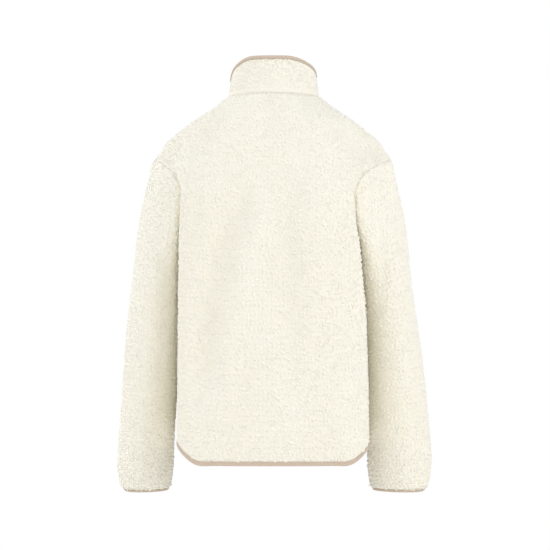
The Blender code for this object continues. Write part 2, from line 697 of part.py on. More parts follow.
def slider_place(shell):
    """The slider's middle, on the chain's outer face just below the collar's binding."""
    frames = chain_frames(shell)
    top, below = frames[0], frames[3]
    down = (below[0] - top[0]).normalized()
    middle = top[0] + down * (BINDING["wide"] + SLIDER["tall"] / 2 + 3 * SEAM_GAP)
    return middle, top[1], down


# ---- putting the jacket together -----------------------------------------------------------


def material(finish, piece):
    made = bpy.data.materials.new(finish["name"] + " of " + piece)
    made.use_nodes = True
    shader = made.node_tree.nodes["Principled BSDF"]
    shader.inputs["Base Color"].default_value = (*finish["colour"], 1.0)
    shader.inputs["Roughness"].default_value = finish["rough"]
    shader.inputs["Metallic"].default_value = finish["metal"]
    return made


def new_object(name, made, finish, collection, place=(0, 0, 0)):
    mesh = bpy.data.meshes.new(name)
    made.to_mesh(mesh)
    made.free()
    mesh.shade_smooth()
    mesh.set_sharp_from_angle(angle=math.radians(40))
    mesh.materials.append(material(finish, name))
    piece = bpy.data.objects.new(name, mesh)
    piece.location = place
    collection.objects.link(piece)
    return piece


def joined(piece, others, operation="UNION"):
    for other in others:
        other.hide_render = True
        other.display_type = "WIRE"
        change = piece.modifiers.new(operation.lower() + " " + other.name, "BOOLEAN")
        change.operation = operation
        change.object = other


def make_slider(shell, finish, jacket, helpers):
    """The slider clasps the chain's top between two plates, and holds the pull's pin."""
    middle, out, down = slider_place(shell)
    gap = SLIDER["play"]
    proud = (CHAIN_THICK - TAPE_THICK) / 2
    face_y = -(proud + gap + SLIDER["plate"] / 2)
    rear_y = CHAIN_THICK - proud + gap + SLIDER["plate"] / 2
    turn = Matrix.Rotation(math.atan2(down.y, -down.z), 4, "X")
    plate = (SLIDER["wide"], SLIDER["plate"], SLIDER["tall"])
    slider = new_object("zip_slider", box(plate, (0, face_y, 0)), finish, jacket, middle)
    rear = new_object("slider rear plate", box(plate, (0, rear_y, 0)), finish, helpers, middle)
    neck_size = (SLIDER["neck_wide"], rear_y - face_y, SLIDER["neck_tall"])
    neck_z = (SLIDER["tall"] - SLIDER["neck_tall"]) / 2
    neck_bar = box(neck_size, (0, (rear_y + face_y) / 2, neck_z))
    neck = new_object("slider neck", neck_bar, finish, helpers, middle)
    lug_y = face_y - LUG["reach"] / 2
    lug_size = (LUG["wide"], LUG["reach"], LUG["tall"])
    lug_x = LUG["apart"] / 2 + LUG["wide"] / 2
    lugs = [
        new_object(f"slider lug {x:+.4f}", box(lug_size, (x, lug_y, 0)), finish, helpers, middle)
        for x in (lug_x, -lug_x)
    ]
    pin_place = Vector((0, face_y - LUG["reach"] + LUG["tall"] / 2, 0))
    pin_bar = cross_bar(PIN_RADIUS, LUG["apart"] + LUG["wide"], pin_place)
    pin = new_object("slider pin", pin_bar, finish, helpers, middle)
    for piece in (slider, rear, neck, *lugs, pin):
        piece.data.transform(turn)
    joined(slider, [rear, neck, *lugs, pin])
    return middle + turn @ pin_place


def make_pull(axis, finish, jacket, helpers):
    """The pull hangs from the slider's pin. Its origin is on the pin's axis."""
    blade_size = (PULL["wide"], PULL["thick"], PULL["long"])
    neck_size = (PULL["eye_wide"], PULL["thick"], PULL["eye"] + 2 * PULL["overlap"])
    eye = cross_bar(PULL["eye"], PULL["eye_wide"], (0, 0, 0))
    pull = new_object("zip_pull", eye, finish, jacket, axis)
    neck_bar = box(neck_size, (0, 0, -neck_size[2] / 2 - PULL["hole"]))
    neck = new_object("pull neck", neck_bar, finish, helpers, axis)
    drop = PULL["eye"] + PULL["overlap"]
    blade_bar = box(blade_size, (0, 0, -drop - PULL["long"] / 2))
    blade = new_object("pull blade", blade_bar, finish, helpers, axis)
    hole_bar = cross_bar(PULL["hole"], 2 * PULL["eye_wide"], (0, 0, 0))
    hole = new_object("pull eye hole", hole_bar, finish, helpers, axis)
    joined(pull, [neck, blade])
    joined(pull, [hole], "DIFFERENCE")
    return pull


def cloth_shell():
    shell = Shell()
    stations = body_stations()
    back, left, right = back_grid(stations), front_grid("left", stations), front_grid("right", stations)
    shell.add("back", back)
    shell.add("front_left", left)
    shell.add("front_right", right)
    shell.add("collar", collar_grid((left[0], back[0], right[0])))
    shell.add("sleeve_left", sleeve_grid("left"), ring=True)
    shell.add("sleeve_right", sleeve_grid("right"), ring=True)
    for name in ("back", "front_left", "front_right", "sleeve_left", "sleeve_right"):
        shell.press(shell.grids[name][-2:])
    shell.press(shell.grids["collar"][:2])
    shell.mesh.verts.index_update()
    shell.lay_folds()
    return shell


def hem_rows(shell, row):
    parts = [shell.grids[name][row] for name in ("front_left", "back", "front_right")]
    return parts[0] + parts[1][1:] + parts[2][1:]


def main():
    for old in list(bpy.data.objects):
        bpy.data.objects.remove(old)
    jacket = bpy.data.collections.new("pile fleece jacket")
    helpers = bpy.data.collections.new("shapes joined or cut")
    for collection in (jacket, helpers):
        bpy.context.scene.collection.children.link(collection)

    shell = cloth_shell()
    for name in shell.faces:
        new_object(name, wall(shell, name), FLEECE, jacket)

    collar = shell.grids["collar"]
    collar_tape = binding(collar[0], collar[1], BINDING, edge_first=True)
    new_object("collar_binding", collar_tape, TAUPE, jacket)
    hem_tape = binding(hem_rows(shell, -1), hem_rows(shell, -2), BINDING)
    new_object("hem_binding", hem_tape, TAUPE, jacket)
    for side in ("left", "right"):
        rings = shell.grids["sleeve_" + side]
        made = binding(rings[-1][:-1], rings[-2][:-1], CUFF_BINDING, ring=True)
        new_object("cuff_binding_" + side, made, TAUPE, jacket)
        new_object("zip_tape_" + side, zip_tape(shell, side), TAPE, jacket)

    new_object("zip_chain", zip_chain(shell), TEETH, jacket)
    axis = make_slider(shell, METAL, jacket, helpers)
    make_pull(axis, METAL, jacket, helpers)
    for piece in jacket.objects:
        mesh = bmesh.new()
        mesh.from_mesh(piece.data)
        if mesh.calc_volume(signed=True) < 0:
            bmesh.ops.reverse_faces(mesh, faces=mesh.faces)
            mesh.to_mesh(piece.data)
        mesh.free()


main()
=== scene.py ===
# A pile fleece jacket with a stand collar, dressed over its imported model.
# The cloth is worked out once, as grids of points that panels share along their seams. Each panel then
# gets its backing, its ground and its pile, and the edges get their bindings and the front its zip.
import math

import bmesh
import bpy
import numpy as np
from mathutils import Matrix, Vector
from mathutils.kdtree import KDTree


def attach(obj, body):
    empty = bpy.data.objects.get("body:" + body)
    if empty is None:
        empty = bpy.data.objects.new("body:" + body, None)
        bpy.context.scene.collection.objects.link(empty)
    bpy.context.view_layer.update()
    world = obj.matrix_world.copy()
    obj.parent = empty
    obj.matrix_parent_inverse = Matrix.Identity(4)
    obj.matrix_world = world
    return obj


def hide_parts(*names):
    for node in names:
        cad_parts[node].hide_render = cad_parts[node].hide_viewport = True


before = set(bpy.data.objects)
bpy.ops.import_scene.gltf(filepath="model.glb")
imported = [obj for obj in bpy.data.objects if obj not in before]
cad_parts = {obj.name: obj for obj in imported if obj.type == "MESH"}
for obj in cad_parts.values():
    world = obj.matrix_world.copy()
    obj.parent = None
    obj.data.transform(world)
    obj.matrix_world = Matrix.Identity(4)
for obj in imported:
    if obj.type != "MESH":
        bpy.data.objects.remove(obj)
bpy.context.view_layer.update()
scene = bpy.context.scene

# Metres, +Z up. The front faces -Y and the jacket's left side is at +X.
seamGap = 0.0003  # between two pieces sewn to each other
pileThick = 0.004  # knitted backing and pile together
pilePress = 0.0012  # how far a binding presses the pile down
bindingTape = {"wide": 0.0080, "pressed": 0.0090, "risen": 0.0125, "shown": 0.0058}
cuffTape = {"wide": 0.0045, "pressed": 0.0055, "risen": 0.0085, "shown": 0.0028}
zipSizes = {
    "halfGap": 0.006,  # from the centre line to each front edge
    "column": 0.015,
    "chainWide": 0.0064,
    "chainThick": 0.0024,
    "tapeWide": 0.013,
    "tapeThick": 0.0009,
    "step": 0.006,  # from one section of a tape to the next
    "columns": 5,
}
atNeck, atPoint, atUnderarm, atHem = 0, 1, 2, 3


def table(columns, rows):
    # Rows of numbers under the names of their columns.
    return [dict(zip(columns.split(), row)) for row in rows]


bodyCut = {
    # Stations run down the body: 0 at the neckline, 1 at the shoulder point, 2 at the underarm, 3 at the hem.
    "shoulderSeam": table("at left right y z", [
        (0.00, 0.080, 0.079, -0.004, 0.001),
        (0.22, 0.107, 0.107, -0.003, -0.023),
        (0.45, 0.137, 0.136, -0.002, -0.041),
        (0.70, 0.171, 0.168, -0.001, -0.064),
        (0.86, 0.191, 0.189, 0.000, -0.083),
        (1.00, 0.204, 0.1995, 0.000, -0.105),
    ]),
    "sideSeam": table("at left right y z", [
        (2.00, 0.149, 0.139, -0.004, -0.234),
        (2.15, 0.149, 0.140, -0.004, -0.290),
        (2.45, 0.149, 0.145, -0.003, -0.385),
        (2.75, 0.151, 0.149, -0.002, -0.485),
        (3.00, 0.153, 0.151, 0.000, -0.582),
    ]),
    # Each row is a section: its middle, the ridge where the cloth turns beside each arm, the turn there in
    # degrees, and the shares of the way round between which its height goes from the middle's to the side's.
    "back": table("at y z left right ridgeY turn rise level", [
        (0.0, 0.073, 0.002, 0.058, 0.058, 0.050, 45, 0.0, 1.0),
        (0.5, 0.097, -0.052, 0.112, 0.110, 0.072, 40, 0.0, 1.0),
        (1.0, 0.113, -0.128, 0.144, 0.127, 0.091, 44, 0.0, 1.0),
        (1.5, 0.120, -0.190, 0.154, 0.132, 0.097, 78, 0.0, 1.0),
        (2.0, 0.121, -0.258, 0.158, 0.141, 0.091, 96, 0.0, 1.0),
        (2.4, 0.117, -0.385, 0.160, 0.153, 0.084, 90, 0.15, 0.9),
        (2.7, 0.113, -0.500, 0.161, 0.157, 0.081, 90, 0.32, 0.8),
        (3.0, 0.112, -0.6160, 0.162, 0.159, 0.077, 90, 0.49, 0.73),
    ]),
    "front": table("at y z left right ridgeY turn rise level", [
        (0.0, -0.082, -0.076, 0.058, 0.058, -0.060, 45, 0.0, 1.0),
        (0.5, -0.097, -0.118, 0.108, 0.106, -0.070, 40, 0.0, 1.0),
        (1.0, -0.111, -0.172, 0.140, 0.134, -0.084, 44, 0.0, 1.0),
        (1.5, -0.122, -0.224, 0.147, 0.138, -0.096, 76, 0.0, 1.0),
        (2.0, -0.129, -0.280, 0.152, 0.142, -0.098, 94, 0.0, 1.0),
        (2.4, -0.128, -0.392, 0.154, 0.149, -0.096, 90, 0.1, 0.9),
        (2.7, -0.125, -0.496, 0.156, 0.154, -0.092, 90, 0.3, 0.86),
        (3.0, -0.122, -0.602, 0.157, 0.156, -0.088, 90, 0.46, 0.76),
    ]),
    "backColumns": (8, 5),
    "frontColumns": (7, 5),
    "shoulderRows": 5,
    "armholeRows": 8,
    "sideRows": 13,
    "sideLength": 0.360,
    "armholeDepth": 0.073,
    "backBow": {"left": 0.025, "right": 0.036},
    "frontBow": {"left": 0.022, "right": 0.024},
    "bowSharp": 1.7,
    "bowHigh": 0.45,  # how much more the loop pulls in above its middle
    "shoulderLean": 50,
    # The cloth near the shoulder point is drawn even: how often, how far each time, and its share by a seam.
    "easeRounds": 14,
    "easePull": 0.7,
    "easeBySeam": 0.25,
    "easeRises": (0.40, 0.55),  # the station where it starts, and how far it takes to be full
    "easeFades": (1.05, 0.45),
}

# The curves of a half section, as shares of the lengths that they span.
sectionSet = {"middleReach": 0.55, "ridgeReach": 0.30, "ridgeLimit": 0.9, "sideReach": 0.38}

sleeveCut = {
    # The outer and inner lines seen from behind, and the reach to back and front seen from the side.
    "sections": table("at left right z off inZ back front", [
        (0.00, 0.204, 0.1995, -0.105, 0.0, -0.234, 0.073, -0.073),
        (0.04, 0.209, 0.203, -0.122, 0.0052, -0.2385, 0.073, -0.075),
        (0.10, 0.217, 0.210, -0.150, 0.0062, -0.254, 0.071, -0.077),
        (0.22, 0.2305, 0.2245, -0.216, 0.0066, -0.290, 0.064, -0.080),
        (0.40, 0.2440, 0.2360, -0.325, 0.0076, -0.368, 0.053, -0.082),
        (0.56, 0.2545, 0.2510, -0.420, 0.0085, -0.440, 0.040, -0.086),
        (0.74, 0.2625, 0.2630, -0.520, 0.0150, -0.530, 0.020, -0.095),
        (0.90, 0.2705, 0.2720, -0.618, 0.0190, -0.617, 0.000, -0.108),
        (0.96, 0.2695, 0.2705, -0.652, 0.0205, -0.651, -0.005, -0.110),
        (0.985, 0.2650, 0.2662, -0.666, 0.0240, -0.6645, -0.012, -0.105),
        (1.00, 0.2565, 0.2580, -0.6755, 0.0305, -0.6735, -0.024, -0.096),
    ]),
    "rows": 20,
    "length": 0.52,
    "bowFades": 0.45,
    "nearerAtWrist": {"left": 0.0, "right": 0.010},
    "nearerRises": (0.5, 0.4),  # where along the sleeve it starts, and how far it takes to be full
}

collarCut = {
    "top": table("facing side y z ridge ridgeY rise level", [
        ("back", "left", 0.060, 0.0635, 0.054, 0.038, 0.26, 1.06),
        ("back", "right", 0.060, 0.0635, 0.054, 0.038, 0.14, 1.04),
        ("front", "left", -0.091, -0.006, 0.053, -0.072, -0.05, 1.0),
        ("front", "right", -0.091, -0.006, 0.053, -0.072, -0.05, 1.0),
    ]),
    "topSide": {"left": (0.0745, -0.030, 0.030), "right": (0.0730, -0.030, 0.037)},
    "turn": 45,
    "waist": 0.0015,
    "rows": 3,
    "height": 0.068,
}

foldSet = {
    # Lines of (across, up) points on one facing. A height above 0 is a ridge and below 0 a trough.
    "folds": table("name facing wide high line", [
        ("long drag trough", "back", 0.020, -0.0060,
         [(0.030, -0.130), (0.078, -0.235), (0.106, -0.330), (0.114, -0.420), (0.125, -0.525)]),
        ("long drag ridge", "back", 0.020, 0.0050,
         [(0.004, -0.150), (0.048, -0.260), (0.066, -0.350), (0.084, -0.470), (0.106, -0.575)]),
        ("spine trough", "back", 0.017, -0.0034,
         [(-0.014, -0.110), (-0.018, -0.250), (-0.019, -0.380), (-0.027, -0.540)]),
        ("right blade ridge", "back", 0.024, 0.0024, [(-0.060, -0.120), (-0.066, -0.260), (-0.070, -0.420)]),
        ("left arm valley", "back", 0.017, -0.0050, [(0.161, -0.062), (0.171, -0.116)]),
        ("right arm valley", "back", 0.017, -0.0055, [(-0.142, -0.055), (-0.154, -0.118)]),
        ("right sleeve trough", "back", 0.014, -0.0045, [(-0.180, -0.165), (-0.182, -0.240), (-0.180, -0.330)]),
        ("left sleeve trough", "back", 0.014, -0.0032, [(0.192, -0.165), (0.195, -0.230), (0.192, -0.300)]),
        ("right underarm swell", "back", 0.009, 0.0032,
         [(-0.136, -0.150), (-0.143, -0.240), (-0.150, -0.330), (-0.156, -0.420)]),
        ("left underarm swell", "back", 0.009, 0.0022,
         [(0.162, -0.150), (0.166, -0.240), (0.166, -0.330), (0.165, -0.420)]),
        ("left chest drag", "front", 0.022, -0.0045,
         [(0.122, -0.200), (0.102, -0.310), (0.092, -0.420), (0.096, -0.540)]),
        ("right chest drag", "front", 0.022, -0.0040, [(-0.118, -0.210), (-0.098, -0.320), (-0.086, -0.450)]),
        ("left front ridge", "front", 0.020, 0.0030, [(0.062, -0.230), (0.056, -0.380), (0.060, -0.520)]),
        ("right front ridge", "front", 0.020, 0.0032, [(-0.062, -0.250), (-0.054, -0.400), (-0.058, -0.530)]),
    ]),
    "fades": 0.18,
    "turned": (0.1, 0.4),  # how far the cloth must face a fold's way, and how much more makes it full
    "deeper": 1.6,  # how much deeper the pile cloth's folds run than the solids' plain walls
}


def smooth(share):
    # 0 to 1 with level ends.
    share = np.clip(share, 0.0, 1.0)
    return share * share * (3 - 2 * share)


def fromTable(rows, column, at):
    # A smooth curve through one column of a table, read at a station.
    stations = [row["at"] for row in rows]
    values = [row[column] for row in rows]
    last = len(rows) - 1
    slopes = [
        (values[min(i + 1, last)] - values[max(i - 1, 0)])
        / (stations[min(i + 1, last)] - stations[max(i - 1, 0)])
        for i in range(len(rows))
    ]
    i = max(0, min(int(np.searchsorted(stations, at, side="right")) - 1, last - 1))
    step = stations[i + 1] - stations[i]
    t = (at - stations[i]) / step
    return (
        (1 + 2 * t) * (1 - t) ** 2 * values[i]
        + t * (1 - t) ** 2 * step * slopes[i]
        + t * t * (3 - 2 * t) * values[i + 1]
        + t * t * (t - 1) * step * slopes[i + 1]
    )


def seamPoint(rows, side, at):
    return np.array([fromTable(rows, column, at) for column in (side, "y", "z")])


def bezier(a, b, c, d, steps=24):
    t = np.linspace(0, 1, steps + 1)[:, None]
    a, b, c, d = (np.array(p) for p in (a, b, c, d))
    return a * (1 - t) ** 3 + 3 * b * t * (1 - t) ** 2 + 3 * c * t * t * (1 - t) + d * t**3


def shareAlong(points):
    steps = np.linalg.norm(np.diff(points, axis=0), axis=1)
    return np.concatenate([[0], np.cumsum(steps)]) / steps.sum()


def lengthOf(line):
    return np.linalg.norm(np.diff(line, axis=0), axis=1).sum()


def runAlong(line):
    # Each point's distance along a line, in metres.
    return np.concatenate([[0], np.cumsum(np.linalg.norm(np.diff(line, axis=0), axis=1))])


def unit(vectors):
    return vectors / np.linalg.norm(vectors, axis=-1, keepdims=True)


def along(line, shares):
    # Points at shares of the way along a line in plan.
    return np.stack([np.interp(shares, shareAlong(line), line[:, k]) for k in (0, 1)], axis=1)


def halfSection(middle, ridge, turn, side, columns, lean=0.0):
    # A half section of the body in plan, from its middle round the ridge to its side. It leaves the side
    # square to it, or leaning inwards by an angle. A front's first column is the zip's.
    middle, ridge, side = (np.array(p, float) for p in (middle, ridge, side))
    outward = math.copysign(1, middle[1])
    turn, lean = math.radians(turn), math.radians(lean)
    heading = np.array([math.cos(turn), -outward * math.sin(turn)])
    leaving = np.array([-math.sin(lean), outward * math.cos(lean)])
    across = ridge[0] - middle[0]
    deep = abs(middle[1] - ridge[1]) / math.sin(turn)
    bend = min(sectionSet["ridgeReach"] * across, sectionSet["ridgeLimit"] * deep)
    roundSide = sectionSet["sideReach"] * np.linalg.norm(ridge - side)
    first = bezier(middle, middle + [sectionSet["middleReach"] * across, 0], ridge - heading * bend, ridge)
    second = bezier(ridge, ridge + heading * roundSide, side + leaving * roundSide, side)
    even = np.linspace(0, 1, columns[0] + 1)
    shares = 0.5 * even + 0.5 * np.sin(even * math.pi / 2)
    if middle[0] > 0:
        zipShare = zipSizes["column"] / lengthOf(first)
        shares = np.concatenate([[0], np.linspace(zipShare, 1, columns[0])])
    return np.concatenate([along(first, shares), along(second, np.linspace(0, 1, columns[1] + 1))[1:]])


def armholeBow(side, c, s):
    # The loop pulls in most a little above its middle.
    bow = bodyCut["backBow" if s > 0 else "frontBow"][side]
    return bow * abs(s) ** bodyCut["bowSharp"] * (1 + bodyCut["bowHigh"] * c)


def armholePoint(side, turn):
    # A point of the armhole's loop. turn is 0 at the shoulder point, 90 behind the arm, 180 at the underarm
    # and 270 before the arm.
    top = seamPoint(bodyCut["shoulderSeam"], side, atPoint)
    low = seamPoint(bodyCut["sideSeam"], side, atUnderarm)
    c, s = math.cos(math.radians(turn)), math.sin(math.radians(turn))
    bow = np.array([-armholeBow(side, c, s), bodyCut["armholeDepth"] * s, 0.0])
    return (top + low) / 2 + (top - low) / 2 * c + bow


def sidePoint(side, at, facing):
    # Where a section of the back or front ends: on the shoulder seam, armhole or side seam.
    if at <= atPoint:
        return seamPoint(bodyCut["shoulderSeam"], side, at)
    if at >= atUnderarm:
        return seamPoint(bodyCut["sideSeam"], side, at)
    turn = 180 * (at - atPoint)
    return armholePoint(side, turn if facing == "back" else -turn)


def sectionPoints(side, at, facing):
    # One half section of the back or of a front, from its middle to its side.
    rows, columns = bodyCut[facing], bodyCut[facing + "Columns"]
    startX = 0.0 if facing == "back" else zipSizes["halfGap"]
    value = {column: fromTable(rows, column, at) for column in rows[0] if column != "at"}
    end = sidePoint(side, at, facing)
    ridge = (value[side], value["ridgeY"])
    lean = bodyCut["shoulderLean"] * nearShoulderPoint(at)
    plan = halfSection((startX, value["y"]), ridge, value["turn"], end[:2], columns, lean)
    level = smooth((shareAlong(plan) - value["rise"]) / (value["level"] - value["rise"]))
    height = value["z"] + (end[2] - value["z"]) * level
    height[-1] = end[2]
    return np.column_stack([plan, height])


def nearShoulderPoint(at):
    (rise, rises), (fade, fades) = bodyCut["easeRises"], bodyCut["easeFades"]
    return smooth((at - rise) / rises) * (1 - smooth((at - fade) / fades))


def eased(half, stations, facing):
    # Half a back or a front, from its middle to its side, with the cloth near the shoulder point drawn
    # evenly between its seams and its ridge.
    columns = bodyCut[facing + "Columns"]
    towardSide = smooth((np.arange(half.shape[1]) - columns[0] + 3) / 4)
    towardSide[-2] = bodyCut["easeBySeam"]
    weight = np.sqrt(nearShoulderPoint(np.array(stations))[:, None] * towardSide)[1:-1, 1:-1, None]
    half = half.copy()
    for _ in range(bodyCut["easeRounds"]):
        around = (half[:-2, 1:-1] + half[2:, 1:-1] + half[1:-1, :-2] + half[1:-1, 2:]) / 4
        half[1:-1, 1:-1] += bodyCut["easePull"] * weight * (around - half[1:-1, 1:-1])
    return half


def edgeStations(low, high, rows, edgeLength, tape):
    # Stations from low to high, the last two set for the pressed strip at a bound edge.
    risen, pressed = (high - (high - low) * tape[part] / edgeLength for part in ("risen", "pressed"))
    return [*np.linspace(low, risen, rows - 1), pressed, high]


def bodyStations():
    return [
        *np.linspace(atNeck, atPoint, bodyCut["shoulderRows"], endpoint=False),
        *np.linspace(atPoint, atUnderarm, bodyCut["armholeRows"], endpoint=False),
        *edgeStations(atUnderarm, atHem, bodyCut["sideRows"], bodyCut["sideLength"], bindingTape),
    ]


def mirrored(points, side):
    return points * [1 if side == "left" else -1, 1, 1]


def halfGrid(side, stations, facing):
    # From the middle to the side, and from the neckline to the hem.
    rows = np.array([sectionPoints(side, at, facing) for at in stations])
    return mirrored(eased(rows, stations, facing), side)


def backGrid(stations):
    left, right = (halfGrid(side, stations, "back") for side in ("left", "right"))
    return np.concatenate([left[:, ::-1], right[:, 1:]], axis=1)


def frontGrid(side, stations):
    # Columns run from the zip to the side on the left, and from the side to the zip on the right, so that
    # every piece's columns run the same way round the body.
    front = halfGrid(side, stations, "front")
    return front if side == "left" else front[:, ::-1]


def collarTopLine(side, facing):
    # A quarter of the collar's top edge, from its middle to its side.
    top = next(row for row in collarCut["top"] if row["facing"] == facing and row["side"] == side)
    columns = bodyCut[facing + "Columns"]
    startX = 0.0 if facing == "back" else zipSizes["halfGap"]
    *end, endZ = collarCut["topSide"][side]
    plan = halfSection((startX, top["y"]), (top["ridge"], top["ridgeY"]), collarCut["turn"], end, columns)
    height = smooth((shareAlong(plan) - top["rise"]) / (top["level"] - top["rise"]))
    height = (height - height[0]) / (height[-1] - height[0])
    return mirrored(np.column_stack([plan, top["z"] + (endZ - top["z"]) * height]), side)


def collarGrid(necklineParts):
    # From the collar's top edge down to the neckline.
    leftFront, leftBack, rightBack, rightFront = (
        collarTopLine(side, facing)
        for side, facing in (("left", "front"), ("left", "back"), ("right", "back"), ("right", "front"))
    )
    topLine = np.concatenate([leftFront, leftBack[::-1][1:], rightBack[1:], rightFront[::-1][1:]])
    baseLine = np.concatenate([necklineParts[0], necklineParts[1][1:], necklineParts[2][1:]])
    shares = edgeStations(1.0, 0.0, collarCut["rows"] + 2, collarCut["height"], bindingTape)[::-1]
    middle = topLine.mean(axis=0)
    rows = []
    for share in shares:
        line = topLine + (baseLine - topLine) * share
        inward = (middle - line) * [1, 1, 0]
        inward /= np.linalg.norm(inward, axis=1)[:, None]
        rows.append(line + inward * collarCut["waist"] * math.sin(math.pi * share))
    return np.array(rows)


def sideSeamAcross(side, z):
    # How far out the side seam lies at a height.
    heights = [-row["z"] for row in bodyCut["sideSeam"]]
    return float(np.interp(-z, heights, [row[side] for row in bodyCut["sideSeam"]]))


def sleeveRing(side, at, turns):
    # One ring round a sleeve, at the same turns as the armhole's points.
    sections = sleeveCut["sections"]
    value = {column: fromTable(sections, column, at) for column in sections[0] if column != "at"}
    innerX = sideSeamAcross(side, value["inZ"]) + value["off"]
    start, length = sleeveCut["nearerRises"]
    innerX -= sleeveCut["nearerAtWrist"][side] * smooth((at - start) / length)
    outer = np.array([value[side], 0, value["z"]])
    inner = np.array([innerX, 0, value["inZ"]])
    middleY = (value["back"] + value["front"]) / 2
    reachY = (value["back"] - value["front"]) / 2
    fade = 1 - smooth(at / sleeveCut["bowFades"])
    armholeTop = fromTable(bodyCut["shoulderSeam"], "y", atPoint)
    armholeLow = fromTable(bodyCut["sideSeam"], "y", atUnderarm)
    ring = []
    for turn in turns:
        c, s = math.cos(math.radians(turn)), math.sin(math.radians(turn))
        bow = armholeBow(side, c, s)
        offMiddle = (armholeTop + armholeLow) / 2 + (armholeTop - armholeLow) / 2 * c
        point = (outer + inner) / 2 + (outer - inner) / 2 * c
        ring.append(point + [-bow * fade, middleY + reachY * s + offMiddle * fade, 0])
    return mirrored(np.array(ring), side)


def sleeveGrid(side):
    # Rings down the sleeve. They run round the same way on both sides of the body.
    step = 180 / bodyCut["armholeRows"]
    turns = [k * step for k in range(2 * bodyCut["armholeRows"])]
    if side == "right":
        turns = [-turn for turn in turns]
    stations = edgeStations(0.0, 1.0, sleeveCut["rows"], sleeveCut["length"], cuffTape)
    return np.array([sleeveRing(side, at, turns) for at in stations])


facingWays = {"back": 1, "front": -1}  # each facing's outward direction along Y


def nearestOn(line, point):
    # (distance from the line, share of the way along it).
    line = np.array(line)
    lengths = np.linalg.norm(np.diff(line, axis=0), axis=1)
    best, share = math.inf, 0.0
    for i, length in enumerate(lengths):
        step = line[i + 1] - line[i]
        t = min(1.0, max(0.0, float(np.dot(point - line[i], step)) / length**2))
        away = float(np.linalg.norm(point - line[i] - t * step))
        if away < best:
            best, share = away, (lengths[:i].sum() + t * length) / lengths.sum()
    return best, share


def foldHeight(point, normal):
    # How far all the folds together move the cloth outwards at a point.
    height = 0.0
    least, more = foldSet["turned"]
    for fold in foldSet["folds"]:
        facing = normal[1] * facingWays[fold["facing"]]
        if facing < least:
            continue
        away, share = nearestOn(fold["line"], np.array([point[0], point[2]]))
        ends = smooth(share / foldSet["fades"]) * smooth((1 - share) / foldSet["fades"])
        across = math.exp(-((away / fold["wide"]) ** 2))
        height += fold["high"] * across * ends * smooth((facing - least) / more)
    return height * foldSet["deeper"]


# How each panel is sewn: its top row, its last row, and its first and last columns.
panelEdges = {
    "back": {"top": "seam", "foot": "bound", "first": "seam", "last": "seam"},
    "front_left": {"top": "seam", "foot": "bound", "first": "zip", "last": "seam"},
    "front_right": {"top": "seam", "foot": "bound", "first": "seam", "last": "zip"},
    "collar": {"top": "bound", "foot": "seam", "first": "zip", "last": "zip"},
    "sleeve_left": {"top": "seam", "foot": "bound"},
    "sleeve_right": {"top": "seam", "foot": "bound"},
}

clothSet = {
    "refined": 2,  # how many times each face of the coarse grids is halved
    "fits": 3,  # rounds of moving the coarse points until the smooth surface passes through them
    "pileDeep": 0.0016,  # from the pile's tips down to the ground that it grows from
    "grooveDeep": 0.0011,  # how far the pile and ground sink along a seam
    "grooveWide": 0.0042,
    "seamStandOff": 0.00015,
    "fitStep": 0.9,  # how much of what is missing each round moves a point by
    "underTape": 0.0001,  # how far the ground lies under the pressed pile's tips
    "backingDeep": 0.0002,  # how far the backing lies past the pile's own thickness
    "farAway": 1.0,  # stands for an edge that a panel hasn't got
}

# The points of each edge of a grid, and the ones beside them.
edgePlaces = {
    "top": (np.s_[0], np.s_[1]),
    "foot": (np.s_[-1], np.s_[-2]),
    "first": (np.s_[:, 0], np.s_[:, 1]),
    "last": (np.s_[:, -1], np.s_[:, -2]),
}

# The collar's seam allowance pushes up a smooth roll just above the neck seam.
neckRoll = {"middle": 0.0030, "wide": 0.0018, "high": 0.0022, "bare": 0.0048, "grooveWide": 0.0014}


def layPanels():
    stations = bodyStations()
    back, left, right = backGrid(stations), frontGrid("left", stations), frontGrid("right", stations)
    return {
        "back": back,
        "front_left": left,
        "front_right": right,
        "collar": collarGrid((left[0], back[0], right[0])),
        "sleeve_left": sleeveGrid("left"),
        "sleeve_right": sleeveGrid("right"),
    }


def isRing(name):
    return "first" not in panelEdges[name]


def clothPlaces(grid):
    # Each point's place on the flat cloth in metres: (across, down).
    across = np.linalg.norm(np.diff(grid, axis=1), axis=2)
    across = np.concatenate([np.zeros((len(grid), 1)), np.cumsum(across, axis=1)], axis=1)
    across -= across[:, across.shape[1] // 2][:, None]
    down = np.linalg.norm(np.diff(grid, axis=0), axis=2).mean(axis=1)
    down = np.concatenate([[0], np.cumsum(down)])
    return np.stack([across, np.broadcast_to(down[:, None], across.shape)], axis=2)


def makeCage(panels):
    # One mesh of every panel with shared points at the seams, and each corner's row and column as a map.
    made, known = bmesh.new(), {}
    rowColumn = made.loops.layers.uv.new("rowColumn")

    def vertexAt(point):
        key = tuple(int(round(c * 1e6)) for c in point)
        if key not in known:
            known[key] = made.verts.new(point)
        return known[key]

    for index, (name, grid) in enumerate(panels.items()):
        if isRing(name):
            grid = np.concatenate([grid, grid[:, :1]], axis=1)
        verts = [[vertexAt(point) for point in row] for row in grid]
        for i in range(len(verts) - 1):
            for j in range(len(verts[0]) - 1):
                places = ((i, j), (i + 1, j), (i + 1, j + 1), (i, j + 1))
                face = made.faces.new([verts[row][column] for row, column in places])
                face.material_index = index
                for loop, (row, column) in zip(face.loops, places):
                    loop[rowColumn].uv = (column, row)
    made.normal_update()
    moves = [v.normal * foldHeight(v.co, v.normal) for v in made.verts]
    for vertex, move in zip(made.verts, moves):
        vertex.co += move
    mesh = bpy.data.meshes.new("coarse cloth")
    made.to_mesh(mesh)
    made.free()
    return link("coarse cloth", mesh)


